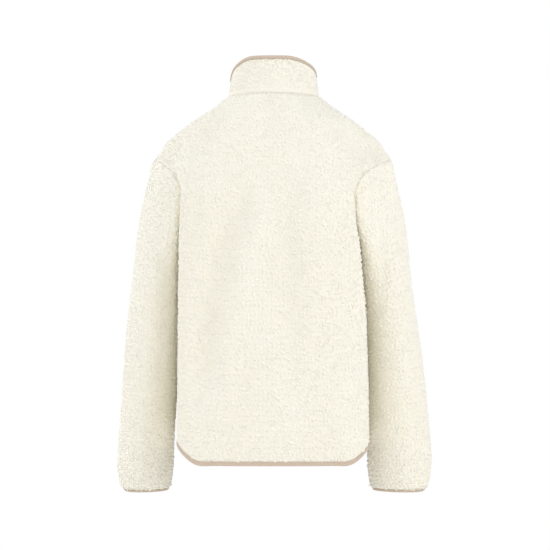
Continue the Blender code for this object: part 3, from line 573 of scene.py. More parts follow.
def refine(cage):
    # Smooth the coarse cloth, moving its points until the smooth surface passes where they were.
    change = cage.modifiers.new("smooth cloth", "SUBSURF")
    change.levels = change.render_levels = clothSet["refined"]
    change.uv_smooth = "NONE"
    count = len(cage.data.vertices)
    goal = np.empty(count * 3)
    cage.data.vertices.foreach_get("co", goal)
    placed = goal.copy()
    for _ in range(clothSet["fits"]):
        smoothed = meshOf(cage)
        got = np.empty(len(smoothed.vertices) * 3)
        smoothed.vertices.foreach_get("co", got)
        bpy.data.meshes.remove(smoothed)
        placed += clothSet["fitStep"] * (goal - got[: count * 3])
        cage.data.vertices.foreach_set("co", placed)
        cage.data.update()
    return meshOf(cage)


def meshOf(piece):
    # The piece's mesh with its modifiers applied.
    graph = bpy.context.evaluated_depsgraph_get()
    return bpy.data.meshes.new_from_object(piece.evaluated_get(graph))


def readArray(items, field, width, kind=float):
    values = np.empty(len(items) * width, kind)
    items.foreach_get(field, values)
    return values.reshape(-1, width) if width > 1 else values


def finePanels(mesh, panels):
    # Each panel as a fine grid: its points and their outward directions.
    points = readArray(mesh.vertices, "co", 3)
    outward = readArray(mesh.vertices, "normal", 3)
    corners = readArray(mesh.loops, "vertex_index", 1, np.int32)
    places = readArray(mesh.uv_layers["rowColumn"].data, "uv", 2)
    panelOf = np.repeat(readArray(mesh.polygons, "material_index", 1, np.int32), 4)
    parts = 2 ** clothSet["refined"]
    fine = {}
    for index, name in enumerate(panels):
        own = panelOf == index
        column, row = np.round(places[own] * parts).astype(int).T
        numbers = np.zeros((row.max() + 1, column.max() + 1), int)
        numbers[row, column] = corners[own]
        fine[name] = {"at": points[numbers], "out": outward[numbers]}
    return fine


def seamPlaces(fine):
    # Points along every seam, the sleeves' underarm seams among them.
    lines = []
    for name, panel in fine.items():
        grid = panel["at"]
        lines += [grid[edgePlaces[edge][0]] for edge, kind in panelEdges[name].items() if kind == "seam"]
        if isRing(name):
            lines.append(grid[:, grid.shape[1] // 2])
    shares = (0, 0.25, 0.5, 0.75)
    return np.concatenate([line[:-1] * (1 - share) + line[1:] * share for line in lines for share in shares])


def distancesTo(places, grid):
    tree = KDTree(len(places))
    for k, place in enumerate(places):
        tree.insert(place, k)
    tree.balance()
    flat = [tree.find(point)[2] for point in grid.reshape(-1, 3)]
    return np.array(flat).reshape(grid.shape[:2])


def boundDistance(name, panel):
    # How far each point lies from the panel's bound edge, and how much the binding presses it, 0 to 1.
    tape = cuffTape if isRing(name) else bindingTape
    grid = panel["at"] if name != "collar" else panel["at"][::-1]
    steps = np.linalg.norm(np.diff(grid, axis=0), axis=2)
    fromFoot = np.concatenate([np.cumsum(steps[::-1], axis=0)[::-1], np.zeros((1, grid.shape[1]))])
    pressed = 1 - smooth((fromFoot - tape["pressed"]) / (tape["risen"] - tape["pressed"]))
    if name == "collar":
        fromFoot, pressed = fromFoot[::-1], pressed[::-1]
    return fromFoot, pressed


def prepare(fine):
    # What each fine point knows: the distances to the seams, the bound edge and the zip, and its places.
    seams = seamPlaces(fine)
    for name, panel in fine.items():
        panel["fromSeam"] = distancesTo(seams, panel["at"])
        panel["fromBound"], panel["pressed"] = boundDistance(name, panel)
        panel["flat"] = clothPlaces(panel["at"])
        fromZip = np.full(panel["fromSeam"].shape, clothSet["farAway"])
        for edge, kind in panelEdges[name].items():
            if kind == "zip":
                away = np.linalg.norm(panel["at"] - panel["at"][edgePlaces[edge][0]][:, None], axis=2)
                fromZip = np.minimum(fromZip, away)
        panel["fromZip"] = fromZip
        collared = name == "collar"
        wide = neckRoll["grooveWide"] if collared else clothSet["grooveWide"]
        groove = np.exp(-((panel["fromSeam"] / wide) ** 2))
        panel["sunk"] = clothSet["grooveDeep"] * groove * (1 - panel["pressed"])
        panel["fromRoll"] = panel["fromSeam"] if collared else np.full_like(groove, clothSet["farAway"])
        roll = np.exp(-(((panel["fromRoll"] - neckRoll["middle"]) / neckRoll["wide"]) ** 2))
        panel["sunk"] -= neckRoll["high"] * roll


def standOff(name, grid):
    # A small step in from each seam, so that two panels leave their gap.
    moves = np.zeros_like(grid)
    for edge, kind in panelEdges[name].items():
        if kind == "seam":
            own, beside = edgePlaces[edge]
            moves[own] += unit(grid[beside] - grid[own]) * clothSet["seamStandOff"]
    return moves


def gridFaces(rows, columns, ring):
    # The corners of a grid's faces, by number. A ring's last column is its first.
    i, j = np.meshgrid(np.arange(rows - 1), np.arange(columns - (0 if ring else 1)), indexing="ij")
    i, j, after = i.ravel() * columns, j.ravel(), (j.ravel() + 1) % columns
    return np.stack([i + j, i + columns + j, i + columns + after, i + after], axis=1)


def meshFrom(name, points, faces, finishes, finishOf=None):
    mesh = bpy.data.meshes.new(name)
    mesh.from_pydata(points, [], faces)
    for finish in finishes:
        mesh.materials.append(finish)
    if finishOf is not None:
        mesh.polygons.foreach_set("material_index", finishOf)
    mesh.shade_smooth()
    return mesh


def link(name, mesh):
    piece = bpy.data.objects.new(name, mesh)
    scene.collection.objects.link(piece)
    return piece


def setMap(mesh, name, values):
    # A map in metres, from one pair of values for each corner.
    layer = mesh.uv_layers.new(name=name)
    layer.data.foreach_set("uv", np.asarray(values, np.float32).ravel())


def clothWall(name, panel, finishes):
    # A closed wall: the ground under the pile outside, the knitted backing inside.
    ring = isRing(name)
    own = np.s_[:, :-1] if ring else np.s_[:]
    grid, out, flat, sunk, pressed = (panel[key][own] for key in ("at", "out", "flat", "sunk", "pressed"))
    rows, columns = grid.shape[:2]
    grid = grid + standOff(name, grid)
    deep = clothSet["pileDeep"] * (1 - pressed) + (pilePress + clothSet["underTape"]) * pressed + sunk
    outer = grid - out * deep[..., None]
    inner = grid - out * (pileThick + clothSet["backingDeep"] * (1 - pressed))[..., None]
    count = rows * columns
    points = np.concatenate([outer.reshape(-1, 3), inner.reshape(-1, 3)])
    outside = gridFaces(rows, columns, ring)
    inside = outside[:, ::-1] + count
    numbers = np.arange(count).reshape(rows, columns)
    if ring:
        borders = [np.append(numbers[0], numbers[0, 0])[::-1], np.append(numbers[-1], numbers[-1, 0])]
    else:
        borders = [np.concatenate([numbers[:, 0], numbers[-1, 1:], numbers[-2::-1, -1], numbers[0, -2::-1]])]
    sides = [np.stack([line[1:], line[:-1], line[:-1] + count, line[1:] + count], axis=1) for line in borders]
    faces = np.concatenate([outside, inside, *sides])
    finishOf = np.concatenate([np.zeros(len(outside), int), np.ones(len(faces) - len(outside), int)])
    mesh = meshFrom(name + "_cloth", points.tolist(), faces.tolist(), finishes, finishOf)
    places = np.concatenate([flat.reshape(-1, 2)] * 2)[faces]
    if ring:
        girth = np.linalg.norm(panel["at"][:, 1:] - panel["at"][:, :-1], axis=2).sum(axis=1).mean()
        column = faces % count % columns
        closing = column.max(axis=1) - column.min(axis=1) > 1
        places[closing[:, None] & (column == 0), 0] += girth
    setMap(mesh, "cloth", places.reshape(-1, 2))
    return link(name + "_cloth", mesh)


def addNode(tree, kind, links=None, values=None, **settings):
    # Adds a node with its settings, its input values, and links into its inputs. A source is an output,
    # or a node that gives its factor or else its first output.
    node = tree.nodes.new(kind)
    for name, value in settings.items():
        setattr(node, name, value)
    for socket, value in (values or {}).items():
        node.inputs[socket].default_value = value
    for socket, source in (links or {}).items():
        if isinstance(source, bpy.types.Node):
            source = source.outputs.get("Fac") or source.outputs[0]
        tree.links.new(source, node.inputs[socket])
    return node


def startTree(name, inputs):
    # A Geometry Nodes tree with its named inputs: {name: its value, or its kind where it starts empty}.
    tree = bpy.data.node_groups.new(name, "GeometryNodeTree")
    tree.interface.new_socket("Geometry", in_out="INPUT", socket_type="NodeSocketGeometry")
    for label, value in inputs.items():
        kind = value if isinstance(value, str) else {int: "Int", float: "Float"}[type(value)]
        socket = tree.interface.new_socket(label, in_out="INPUT", socket_type="NodeSocket" + kind)
        if kind != value:
            socket.default_value = value
    tree.interface.new_socket("Geometry", in_out="OUTPUT", socket_type="NodeSocketGeometry")
    return tree, tree.nodes.new("NodeGroupInput").outputs


def endTree(tree, given, placed, rounded=True):
    # Makes what was placed real, smooth where it is round, and gives it its finish.
    real = addNode(tree, "GeometryNodeRealizeInstances", {0: placed})
    soft = addNode(tree, "GeometryNodeSetShadeSmooth", {0: real}) if rounded else real
    dressed = addNode(tree, "GeometryNodeSetMaterial", {0: soft, "Material": given["Finish"]})
    addNode(tree, "NodeGroupOutput", {0: dressed})
    return tree


def grow(name, base, tree, inputs):
    # Runs a tree on a base mesh and keeps the result as a plain mesh in its own piece.
    change = base.modifiers.new(tree.name, "NODES")
    change.node_group = tree
    for socket in tree.interface.items_tree:
        if socket.in_out == "INPUT" and socket.name in inputs:
            change[socket.identifier] = inputs[socket.name]
    made = meshOf(base)
    bpy.data.objects.remove(base)
    return link(name, made)


pileSet = {
    "spacing": 0.0056,  # the least distance between two curls
    "size": 1.0,
    "collarSize": 0.86,  # the collar's pile is combed shorter and finer
    "collarSpacing": 0.0048,
    "turnOut": 0.16,  # radians that a curl may lean
    # Four locks of pile: the radius that each bends round, how far in degrees, and the yarn's radius.
    "curls": table("bend round yarn", [
        (0.0017, 255, 0.00185),
        (0.0020, 225, 0.00190),
        (0.0015, 285, 0.00180),
        (0.0025, 175, 0.00190),
    ]),
    "curlRise": 0.0006,  # how far a curl's middle stands above its ends
    "curlLow": -0.00075,  # how far the ends stand above the ground
    "curlSteps": 5,
    "yarnEnd": 0.66,  # the yarn's thickness at its ends, as a share of its middle
    # The curls' painted shade runs from the darker root colour at the lower height to the tip colour at the
    # upper.
    "shadeFrom": -0.0006,  # heights on a curl that its shade runs between
    "shadeTo": 0.0024,
    "clear": 0.0004,  # from a binding or a front edge to the first curls
    "zipClear": 0.0036,
    "thinOver": 0.0004,  # how far the curls take to thin out at an edge
    "most": 400000.0,  # curls in a square metre before the spacing thins them
    "sizes": (0.88, 1.12),
    "seamShrink": -0.30,
    "firstSeed": 20,
}


def curlMesh(tree, curl):
    # One curl: a four-sided yarn bent most of the way round, highest and thickest in its middle.
    bent = addNode(tree, "GeometryNodeCurveArc", values={
        "Resolution": pileSet["curlSteps"],
        "Radius": curl["bend"],
        "Start Angle": 0.0,
        "Sweep Angle": math.radians(curl["round"]),
    })
    share = addNode(tree, "GeometryNodeSplineParameter")
    turned = addNode(tree, "ShaderNodeMath", {0: share}, {1: math.pi}, operation="MULTIPLY")
    middle = addNode(tree, "ShaderNodeMath", {0: turned}, operation="SINE")
    rise = addNode(tree, "ShaderNodeMath", {0: middle}, {1: pileSet["curlRise"], 2: pileSet["curlLow"]},
                   operation="MULTIPLY_ADD")
    up = addNode(tree, "ShaderNodeCombineXYZ", {"Z": rise})
    raised = addNode(tree, "GeometryNodeSetPosition", {"Geometry": bent, "Offset": up})
    width = addNode(tree, "ShaderNodeMapRange", {"Value": middle}, {"To Min": pileSet["yarnEnd"]})
    shaped = addNode(tree, "GeometryNodeSetCurveRadius", {"Curve": raised, "Radius": width})
    ring = addNode(tree, "GeometryNodeCurvePrimitiveCircle", values={"Resolution": 4, "Radius": curl["yarn"]})
    swept = addNode(tree, "GeometryNodeCurveToMesh", {
        "Curve": shaped,
        "Profile Curve": ring,
    }, {"Fill Caps": True})
    place = addNode(tree, "GeometryNodeInputPosition")
    height = addNode(tree, "ShaderNodeSeparateXYZ", {0: place}).outputs["Z"]
    share = addNode(tree, "ShaderNodeMapRange", {"Value": height}, {
        "From Min": pileSet["shadeFrom"],
        "From Max": pileSet["shadeTo"],
    })
    marked = addNode(tree, "GeometryNodeStoreNamedAttribute", {
        "Geometry": swept,
        "Value": share,
    }, {"Name": "tuftHigh"}, data_type="FLOAT", domain="POINT")
    return addNode(tree, "GeometryNodeGeometryToInstance", {0: marked})


def makePileTree():
    # Scatters curls over the ground, away from bindings and edges, lower and smaller along the seams.
    tree, given = startTree("pile tufts", {
        "Spacing": pileSet["spacing"],
        "Size": pileSet["size"],
        "Groove deep": clothSet["grooveDeep"],
        "Groove wide": clothSet["grooveWide"],
        "Seed": 1,
        "Finish": "Material",
    })
    clear = addNode(tree, "GeometryNodeInputNamedAttribute", values={"Name": "clearance"}, data_type="FLOAT")
    factor = addNode(tree, "ShaderNodeMapRange", {"Value": clear}, {"From Max": pileSet["thinOver"]})
    scattered = addNode(tree, "GeometryNodeDistributePointsOnFaces", {
        "Mesh": given["Geometry"],
        "Distance Min": given["Spacing"],
        "Density Factor": factor,
        "Seed": given["Seed"],
    }, {"Density Max": pileSet["most"]}, distribute_method="POISSON")
    seam = addNode(tree, "GeometryNodeInputNamedAttribute", values={"Name": "fromSeam"}, data_type="FLOAT")
    away = addNode(tree, "ShaderNodeMath", {0: seam, 1: given["Groove wide"]}, operation="DIVIDE")
    square = addNode(tree, "ShaderNodeMath", {0: away, 1: away}, operation="MULTIPLY")
    minus = addNode(tree, "ShaderNodeMath", {0: square}, {1: -1.0}, operation="MULTIPLY")
    groove = addNode(tree, "ShaderNodeMath", {0: minus}, operation="EXPONENT")
    sunk = addNode(tree, "ShaderNodeMath", {0: groove, 1: given["Groove deep"]}, operation="MULTIPLY")
    down = addNode(tree, "ShaderNodeMath", {0: sunk}, {1: -1.0}, operation="MULTIPLY")
    offset = addNode(tree, "ShaderNodeVectorMath", {
        0: scattered.outputs["Normal"],
        "Scale": down,
    }, operation="SCALE")
    placed = addNode(tree, "GeometryNodeSetPosition", {"Geometry": scattered, "Offset": offset})
    lean = pileSet["turnOut"]
    turns = addNode(tree, "FunctionNodeRandomValue", values={
        0: (-lean, -lean, 0.0),
        1: (lean, lean, 2 * math.pi),
        "Seed": 11,
    }, data_type="FLOAT_VECTOR")
    turned = addNode(tree, "FunctionNodeRotateRotation", {
        "Rotation": scattered.outputs["Rotation"],
        "Rotate By": addNode(tree, "FunctionNodeEulerToRotation", {0: turns}).outputs[0],
    }, rotation_space="LOCAL")
    small, large = pileSet["sizes"]
    sizes = addNode(tree, "FunctionNodeRandomValue", values={2: small, 3: large, "Seed": 12}, data_type="FLOAT")
    shrink = {1: pileSet["seamShrink"], 2: 1.0}
    smaller = addNode(tree, "ShaderNodeMath", {0: groove}, shrink, operation="MULTIPLY_ADD")
    scaled = addNode(tree, "ShaderNodeMath", {0: sizes.outputs[1], 1: smaller}, operation="MULTIPLY")
    size = addNode(tree, "ShaderNodeMath", {0: scaled, 1: given["Size"]}, operation="MULTIPLY")
    curls = addNode(tree, "GeometryNodeJoinGeometry")
    for curl in reversed(pileSet["curls"]):
        tree.links.new(curlMesh(tree, curl).outputs[0], curls.inputs[0])
    lastCurl = len(pileSet["curls"]) - 1
    pick = addNode(tree, "FunctionNodeRandomValue", values={4: 0, 5: lastCurl, "Seed": 13}, data_type="INT")
    tufts = addNode(tree, "GeometryNodeInstanceOnPoints", {
        "Points": placed,
        "Instance": curls,
        "Instance Index": pick.outputs[2],
        "Rotation": turned,
        "Scale": size,
    }, {"Pick Instance": True})
    shade = addNode(tree, "FunctionNodeRandomValue", values={2: 0.0, 3: 1.0, "Seed": 14}, data_type="FLOAT")
    marked = addNode(tree, "GeometryNodeStoreNamedAttribute", {
        "Geometry": tufts,
        "Value": shade.outputs[1],
    }, {"Name": "tuftShade"}, data_type="FLOAT", domain="INSTANCE")
    return endTree(tree, given, marked)


def pileBase(name, panel, columns):
    # The ground that one piece of pile grows from, with what the tree reads stored on its points.
    cut = {key: value[:, columns] for key, value in panel.items()}
    rows, width = cut["at"].shape[:2]
    deep = clothSet["pileDeep"] * (1 - cut["pressed"]) + pilePress * cut["pressed"]
    ground = cut["at"] - cut["out"] * deep[..., None]
    mesh = meshFrom(name, ground.reshape(-1, 3).tolist(), gridFaces(rows, width, False).tolist(), [])
    tape = cuffTape if isRing(name) else bindingTape
    fromTape = cut["fromBound"] - tape["shown"] - pileSet["clear"]
    clearance = np.minimum(fromTape, cut["fromZip"] - pileSet["zipClear"])
    clearance = np.minimum(clearance, cut["fromRoll"] - neckRoll["bare"])
    for label, values in (("clearance", clearance), ("fromSeam", cut["fromSeam"])):
        mesh.attributes.new(label, "FLOAT", "POINT").data.foreach_set("value", values.ravel())
    return link(name + " ground", mesh)


tapeShape = {
    "thick": 0.001,
    "reach": 0.0016,  # how far the fold stands out past the cloth's edge
    "bends": (62, 34, 0, -34, -62),  # degrees round the fold
    "pucker": 0.00022,  # the stretched tape gathers the cloth a little
    "puckerWide": 0.0105,
    "puckerSway": (1.3, 0.37),  # how much the gathers wander, and how slowly
    "puckerSink": 0.4,
    "edgePucker": 0.5,
    "tuck": 0.0003,  # how far each leg's end is drawn in
    "crown": 0.0001,
    "stitchIn": 0.0017,  # from the end of each leg to its row of stitches
}


def boundLines(fine):
    # Each binding's line of edge points with their outward directions, and the same a little way in.
    def rows(names, row, within):
        parts = []
        for name in names:
            panel = fine[name]
            start = 1 if parts else 0
            parts.append([panel[key][r][start:] for key in ("at", "out") for r in (row, within)])
        whole = [np.concatenate(part) for part in zip(*parts)]
        return dict(zip(("edge", "inside", "edgeOut", "insideOut"), whole))

    step = 2 ** clothSet["refined"]
    return {
        "collar_binding": rows(["collar"], 0, step),
        "hem_binding": rows(["front_left", "back", "front_right"], -1, -1 - step),
        "cuff_binding_left": rows(["sleeve_left"], -1, -1 - step),
        "cuff_binding_right": rows(["sleeve_right"], -1, -1 - step),
    }


def legPoints(line, tape, fromEnd):
    # A line along a leg of the tape, at a distance from the leg's end, with its outward directions.
    share = (tape["shown"] - fromEnd) / tape["pressed"]
    at = line["edge"] + (line["inside"] - line["edge"]) * share
    return at, unit(line["edgeOut"] + (line["insideOut"] - line["edgeOut"]) * share)


def foldedTape(name, line, tape, finish):
    ring = name.startswith("cuff")
    thick = tapeShape["thick"]
    face, back = seamGap - pilePress, -pileThick - seamGap
    top, low = face + thick, back - thick
    edge, normal = line["edge"], line["edgeOut"]
    beyond = edge - line["inside"]
    beyond = unit(beyond - normal * (beyond * normal).sum(axis=1)[:, None])
    end, endOut = legPoints(line, tape, 0.0)
    half, halfOut = legPoints(line, tape, tape["shown"] / 2)
    run = runAlong(edge)
    wave = run / tapeShape["puckerWide"] * 2 * math.pi
    sway, slow = tapeShape["puckerSway"]
    wave = np.sin(wave + sway * np.sin(wave * slow))
    gather = tapeShape["pucker"] * (wave - tapeShape["puckerSink"])[:, None]
    middle, semi = (top + low) / 2, (top - low) / 2
    bends = []
    for bend in tapeShape["bends"]:
        c, s = math.cos(math.radians(bend)), math.sin(math.radians(bend))
        bends.append(edge + beyond * (tapeShape["reach"] * c) + normal * (middle + semi * s))
    sections = [
        end + endOut * (top - tapeShape["tuck"]),
        half + halfOut * (top + tapeShape["crown"] + gather),
        edge + normal * (top + gather * tapeShape["edgePucker"]),
        *bends,
        edge + normal * low,
        half + halfOut * (low - gather),
        end + endOut * (low + tapeShape["tuck"]),
        end + endOut * back,
        half + halfOut * back,
        edge + normal * back,
        edge + normal * face,
        half + halfOut * face,
        end + endOut * face,
    ]
    points = np.stack(sections, axis=1)
    if ring:
        points = points[:-1]
    around = runAlong(points[0])
    around = np.append(around, around[-1] + thick)
    piece = strip(name + "_tape", points, run, around, finish, ring)
    return piece, around[len(bends) + 5], run[-1]


def strip(name, points, run, around, finish, ring=False, mapTurned=False):
    # A closed strip through its sections. Its map is (along, around), or the other way if it is turned.
    steps, count = points.shape[:2]
    faces, places = [], []

    def addFace(corners):
        faces.append([i % steps * count + k % count for i, k in corners])
        places.extend((around[k], run[i]) if mapTurned else (run[i], around[k]) for i, k in corners)

    for i in range(steps if ring else steps - 1):
        for k in range(count):
            addFace([(i, k), (i, k + 1), (i + 1, k + 1), (i + 1, k)])
    if not ring:
        addFace([(0, k) for k in reversed(range(count))])
        addFace([(steps - 1, k) for k in range(count)])
    mesh = meshFrom(name, points.reshape(-1, 3).tolist(), faces, [finish])
    setMap(mesh, "cloth", places)
    made = bmesh.new()
    made.from_mesh(mesh)
    bmesh.ops.recalc_face_normals(made, faces=made.faces)
    if made.calc_volume(signed=True) < 0:
        bmesh.ops.reverse_faces(made, faces=made.faces)
    made.to_mesh(mesh)
    made.free()
    return link(name, mesh)


stitchSet = {
    "pitch": 0.0036,
    "long": 0.0024,
    "thread": 0.00032,  # half the thread's width
    "proud": 0.00018,
}


def stepsAlong(tree, given):
    line = addNode(tree, "GeometryNodeMeshToCurve", {0: given["Geometry"]})
    return addNode(tree, "GeometryNodeResampleCurve", {"Curve": line, "Length": given["Pitch"]}, mode="LENGTH")


def makeStitchTree():
    # Lays a short length of thread at each step along a line.
    tree, given = startTree("stitches", {
        "Pitch": stitchSet["pitch"],
        "Long": stitchSet["long"],
        "Thread": stitchSet["thread"],
        "Finish": "Material",
    })
    steps = stepsAlong(tree, given)
    tangent = addNode(tree, "GeometryNodeInputTangent")
    turned = addNode(tree, "FunctionNodeAlignRotationToVector", {"Vector": tangent}, axis="X")
    bead = addNode(tree, "GeometryNodeMeshIcoSphere", values={"Radius": 1.0, "Subdivisions": 1})
    halfLong = addNode(tree, "ShaderNodeMath", {0: given["Long"]}, {1: 0.5}, operation="MULTIPLY")
    size = addNode(tree, "ShaderNodeCombineXYZ", {"X": halfLong, "Y": given["Thread"], "Z": given["Thread"]})
    laid = addNode(tree, "GeometryNodeInstanceOnPoints", {
        "Points": steps,
        "Instance": bead,
        "Rotation": turned,
        "Scale": size,
    })
    return endTree(tree, given, laid)


def lineMesh(name, lines, outs=None):
    # Loose lines as one mesh of edges, with an outward direction on each point if it is given.
    mesh = bpy.data.meshes.new(name)
    points, edges = [], []
    for line in lines:
        first = len(points)
        points += [tuple(point) for point in line]
        edges += [(first + k, first + k + 1) for k in range(len(line) - 1)]
    mesh.from_pydata(points, edges, [])
    if outs is not None:
        values = np.concatenate(outs).astype(np.float32).ravel()
        mesh.attributes.new("outward", "FLOAT_VECTOR", "POINT").data.foreach_set("vector", values)
    return link(name, mesh)


def tapeStitchLines(line, tape):
    at, out = legPoints(line, tape, tapeShape["stitchIn"])
    top = seamGap - pilePress + tapeShape["thick"] + stitchSet["proud"]
    low = -pileThick - seamGap - tapeShape["thick"] - stitchSet["proud"]
    return [at + out * top, at + out * low]


toothSet = {
    "pitch": 0.0026,  # from one tooth to the next on the same tape
    "thick": 0.0024,
    # Half a tooth's outline in mm, from the tape's edge to its head, as (across, along the chain).
    "outline": [(3.1, 0.75), (1.3, 0.92), (0.9, 0.66), (-0.2, 0.56), (-1.05, 0.50)],
    "chamfer": 0.00022,
    "underSlider": 0.0022,  # the slider's neck, where the chain begins
    "lineStep": 0.004,  # from one point to the next of the line that the teeth are set along
    "merge": 1e-7,
}


def frontLine(fine, side):
    # A front edge from the collar's top to the hem, with its outward directions and the cloth beside it.
    column, beside = (0, 2 ** clothSet["refined"]) if side == "left" else (-1, -1 - 2 ** clothSet["refined"])
    parts = []
    for name in ("collar", "front_" + side):
        panel = fine[name]
        stop = -1 if name == "collar" else None
        parts.append([panel[key][:stop, k] for key in ("at", "out") for k in (column, beside)])
    return [np.concatenate(group) for group in zip(*parts)]


def trimmed(tracks, top, foot, step):
    # Tracks side by side, evenly spaced along the first one, with their ends cut off.
    run = runAlong(tracks[0])
    count = int((run[-1] - top - foot) / step) + 1
    places = np.linspace(top, run[-1] - foot, count)
    return [np.stack([np.interp(places, run, track[:, k]) for k in range(3)], axis=1) for track in tracks]


def chainLine(fine):
    # The middle of the closed teeth at the tapes' outer faces, and the outward direction.
    left, _, leftOut, _ = frontLine(fine, "left")
    right, _, rightOut, _ = frontLine(fine, "right")
    out = unit((leftOut + rightOut) * [0, 1, 1])
    middle = ((left + right) / 2 - out * (pileThick + seamGap)) * [0, 1, 1]
    return middle, out


def zipTape(fine, side, finish):
    edge, beside, edgeOut, besideOut = frontLine(fine, side)
    deep = pileThick + seamGap
    start, end = edge - edgeOut * deep, beside - besideOut * deep
    across = unit(end - start)
    chainX = (zipSizes["chainWide"] / 2 + seamGap) * (1 if side == "left" else -1)
    near = start + across * ((chainX - start[:, 0]) / across[:, 0])[:, None]
    far = start + across * zipSizes["tapeWide"]
    depth = edgeOut * [0, 1, 1] * zipSizes["tapeThick"]
    cut = bindingTape["wide"] + 2 * seamGap
    near, far, depth = trimmed([near, far, depth], cut, cut, zipSizes["step"])
    shares = np.linspace(0, 1, zipSizes["columns"])
    front = [near + (far - near) * share for share in shares]
    rear = [near + (far - near) * share - depth for share in shares[::-1]]
    points = np.stack(front + rear, axis=1)
    wide = np.linalg.norm(far - near, axis=1).mean()
    over = np.concatenate([shares * wide, shares[::-1] * wide, [0]])
    run = runAlong(near)
    return strip("zip_tape_" + side + "_woven", points, run, over, finish, mapTurned=True), wide, run[-1]


def toothMesh():
    # One moulded tooth: its outline along X and Y, with its face and rear chamfered.
    outline = [(x / 1000, y / 1000) for x, y in toothSet["outline"]]
    outline += [(x, -y) for x, y in reversed(outline)]
    half, chamfer = toothSet["thick"] / 2, toothSet["chamfer"]
    middle = np.mean(outline, axis=0)
    made = bmesh.new()
    rings = []
    for z, drawn in ((-half, 1), (-half + chamfer, 0), (half - chamfer, 0), (half, 1)):
        ring = []
        for point in outline:
            toward = middle - point
            inset = toward / np.linalg.norm(toward) * chamfer * drawn
            ring.append(made.verts.new((*(point + inset), z)))
        rings.append(ring)
    count = len(outline)
    for low, high in zip(rings, rings[1:]):
        for k in range(count):
            made.faces.new((low[k], low[(k + 1) % count], high[(k + 1) % count], high[k]))
    made.faces.new(rings[0][::-1])
    made.faces.new(rings[3])
    bmesh.ops.remove_doubles(made, verts=made.verts, dist=toothSet["merge"])
    bmesh.ops.recalc_face_normals(made, faces=made.faces)
    mesh = bpy.data.meshes.new("zip tooth")
    made.to_mesh(mesh)
    made.free()
    return mesh


def makeTeethTree():
    # Sets a tooth at each step down a line, with its face along the stored outward direction.
    tree, given = startTree("zip teeth", {"Pitch": toothSet["pitch"], "Tooth": "Object", "Finish": "Material"})
    steps = stepsAlong(tree, given)
    name = {"Name": "outward"}
    outward = addNode(tree, "GeometryNodeInputNamedAttribute", values=name, data_type="FLOAT_VECTOR")
    tangent = addNode(tree, "GeometryNodeInputTangent")
    facing = addNode(tree, "FunctionNodeAlignRotationToVector", {"Vector": outward}, axis="Z")
    turned = addNode(tree, "FunctionNodeAlignRotationToVector", {
        "Rotation": facing,
        "Vector": tangent,
    }, axis="Y", pivot_axis="Z")
    tooth = addNode(tree, "GeometryNodeObjectInfo", {"Object": given["Tooth"]})
    laid = addNode(tree, "GeometryNodeInstanceOnPoints", {
        "Points": steps,
        "Instance": tooth.outputs["Geometry"],
        "Rotation": turned,
    })
    return endTree(tree, given, laid, rounded=False)


def zipTeeth(fine, tree, finish):
    # Two rows of teeth that mesh, half a pitch apart.
    middle, out = chainLine(fine)
    top = bindingTape["wide"] + toothSet["underSlider"] + 6 * seamGap + toothSet["pitch"] / 2
    foot = zipSizes["chainThick"] + toothSet["pitch"] / 2
    rows = []
    for side in ("left", "right"):
        shift = toothSet["pitch"] / 2 if side == "right" else 0.0
        rest = foot + toothSet["pitch"] / 2 - shift
        line, outward = trimmed([middle, out], top + shift, rest, toothSet["lineStep"])
        tooth = link("zip tooth " + side, toothMesh())
        if side == "right":
            tooth.data.transform(Matrix.Rotation(math.pi, 4, "Z"))
        line = line - outward * (zipSizes["tapeThick"] / 2)
        base = lineMesh("zip line " + side, [line], [outward])
        rows.append(grow("zip_teeth_" + side, base, tree, {"Tooth": tooth, "Finish": finish}))
        bpy.data.objects.remove(tooth)
    return rows


metalSet = {"edge": 0.00025, "merge": 1e-6, "flat": 1, "sharp": 35}  # metres, and angles in degrees


def bevelledCopy(name, node, finish):
    # A CAD piece's own shape with its edges rounded.
    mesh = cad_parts[node].data.copy()
    made = bmesh.new()
    made.from_mesh(mesh)
    bmesh.ops.remove_doubles(made, verts=made.verts, dist=metalSet["merge"])
    flat = math.radians(metalSet["flat"])
    bmesh.ops.dissolve_limit(made, angle_limit=flat, verts=made.verts, edges=made.edges)
    made.to_mesh(mesh)
    made.free()
    mesh.materials.clear()
    mesh.materials.append(finish)
    mesh.shade_smooth()
    mesh.set_sharp_from_angle(angle=math.radians(metalSet["sharp"]))
    piece = link(name, mesh)
    change = piece.modifiers.new("rounded edges", "BEVEL")
    change.width, change.segments = metalSet["edge"], 2
    change.harden_normals = True
    return piece


def linear(hexColour):
    # An sRGB hex colour as linear RGBA.
    parts = [int(hexColour[k : k + 2], 16) / 255 for k in (1, 3, 5)]
    return [p / 12.92 if p <= 0.04045 else ((p + 0.055) / 1.055) ** 2.4 for p in parts] + [1.0]


def startFinish(name, sockets):
    # A material with its shader's constant values set on its own sockets.
    finish = bpy.data.materials.new(name)
    finish.use_nodes = True
    shader = finish.node_tree.nodes["Principled BSDF"]
    for label, value in sockets.items():
        shader.inputs[label].default_value = value
    return finish, finish.node_tree, shader


finishSet = {
    "pileTip": "#FFFDEC",
    "pileWarm": "#FAF5E1",
    # Painted shade: the curls' roots are a little darker and warmer than their tips.
    "pileRootShade": "#FBF6E3",
    # Painted shade: the ground between the curls is darker than the curls.
    "ground": "#F8F0D9",
    "backing": "#F5F1E6",
    "backingDark": "#DDD2BA",
    "tape": "#D8C7AE",
    "tapeDark": "#BFA990",
    "thread": "#C4AE9C",
    "zipTape": "#E6DCC6",
    "zipTapeDark": "#CFC2A6",
    "teeth": "#E8DFCA",
    "nickel": "#BDB8AF",
    "floor": "#F8F5EE",
    "floorDark": "#F3F0E9",
}

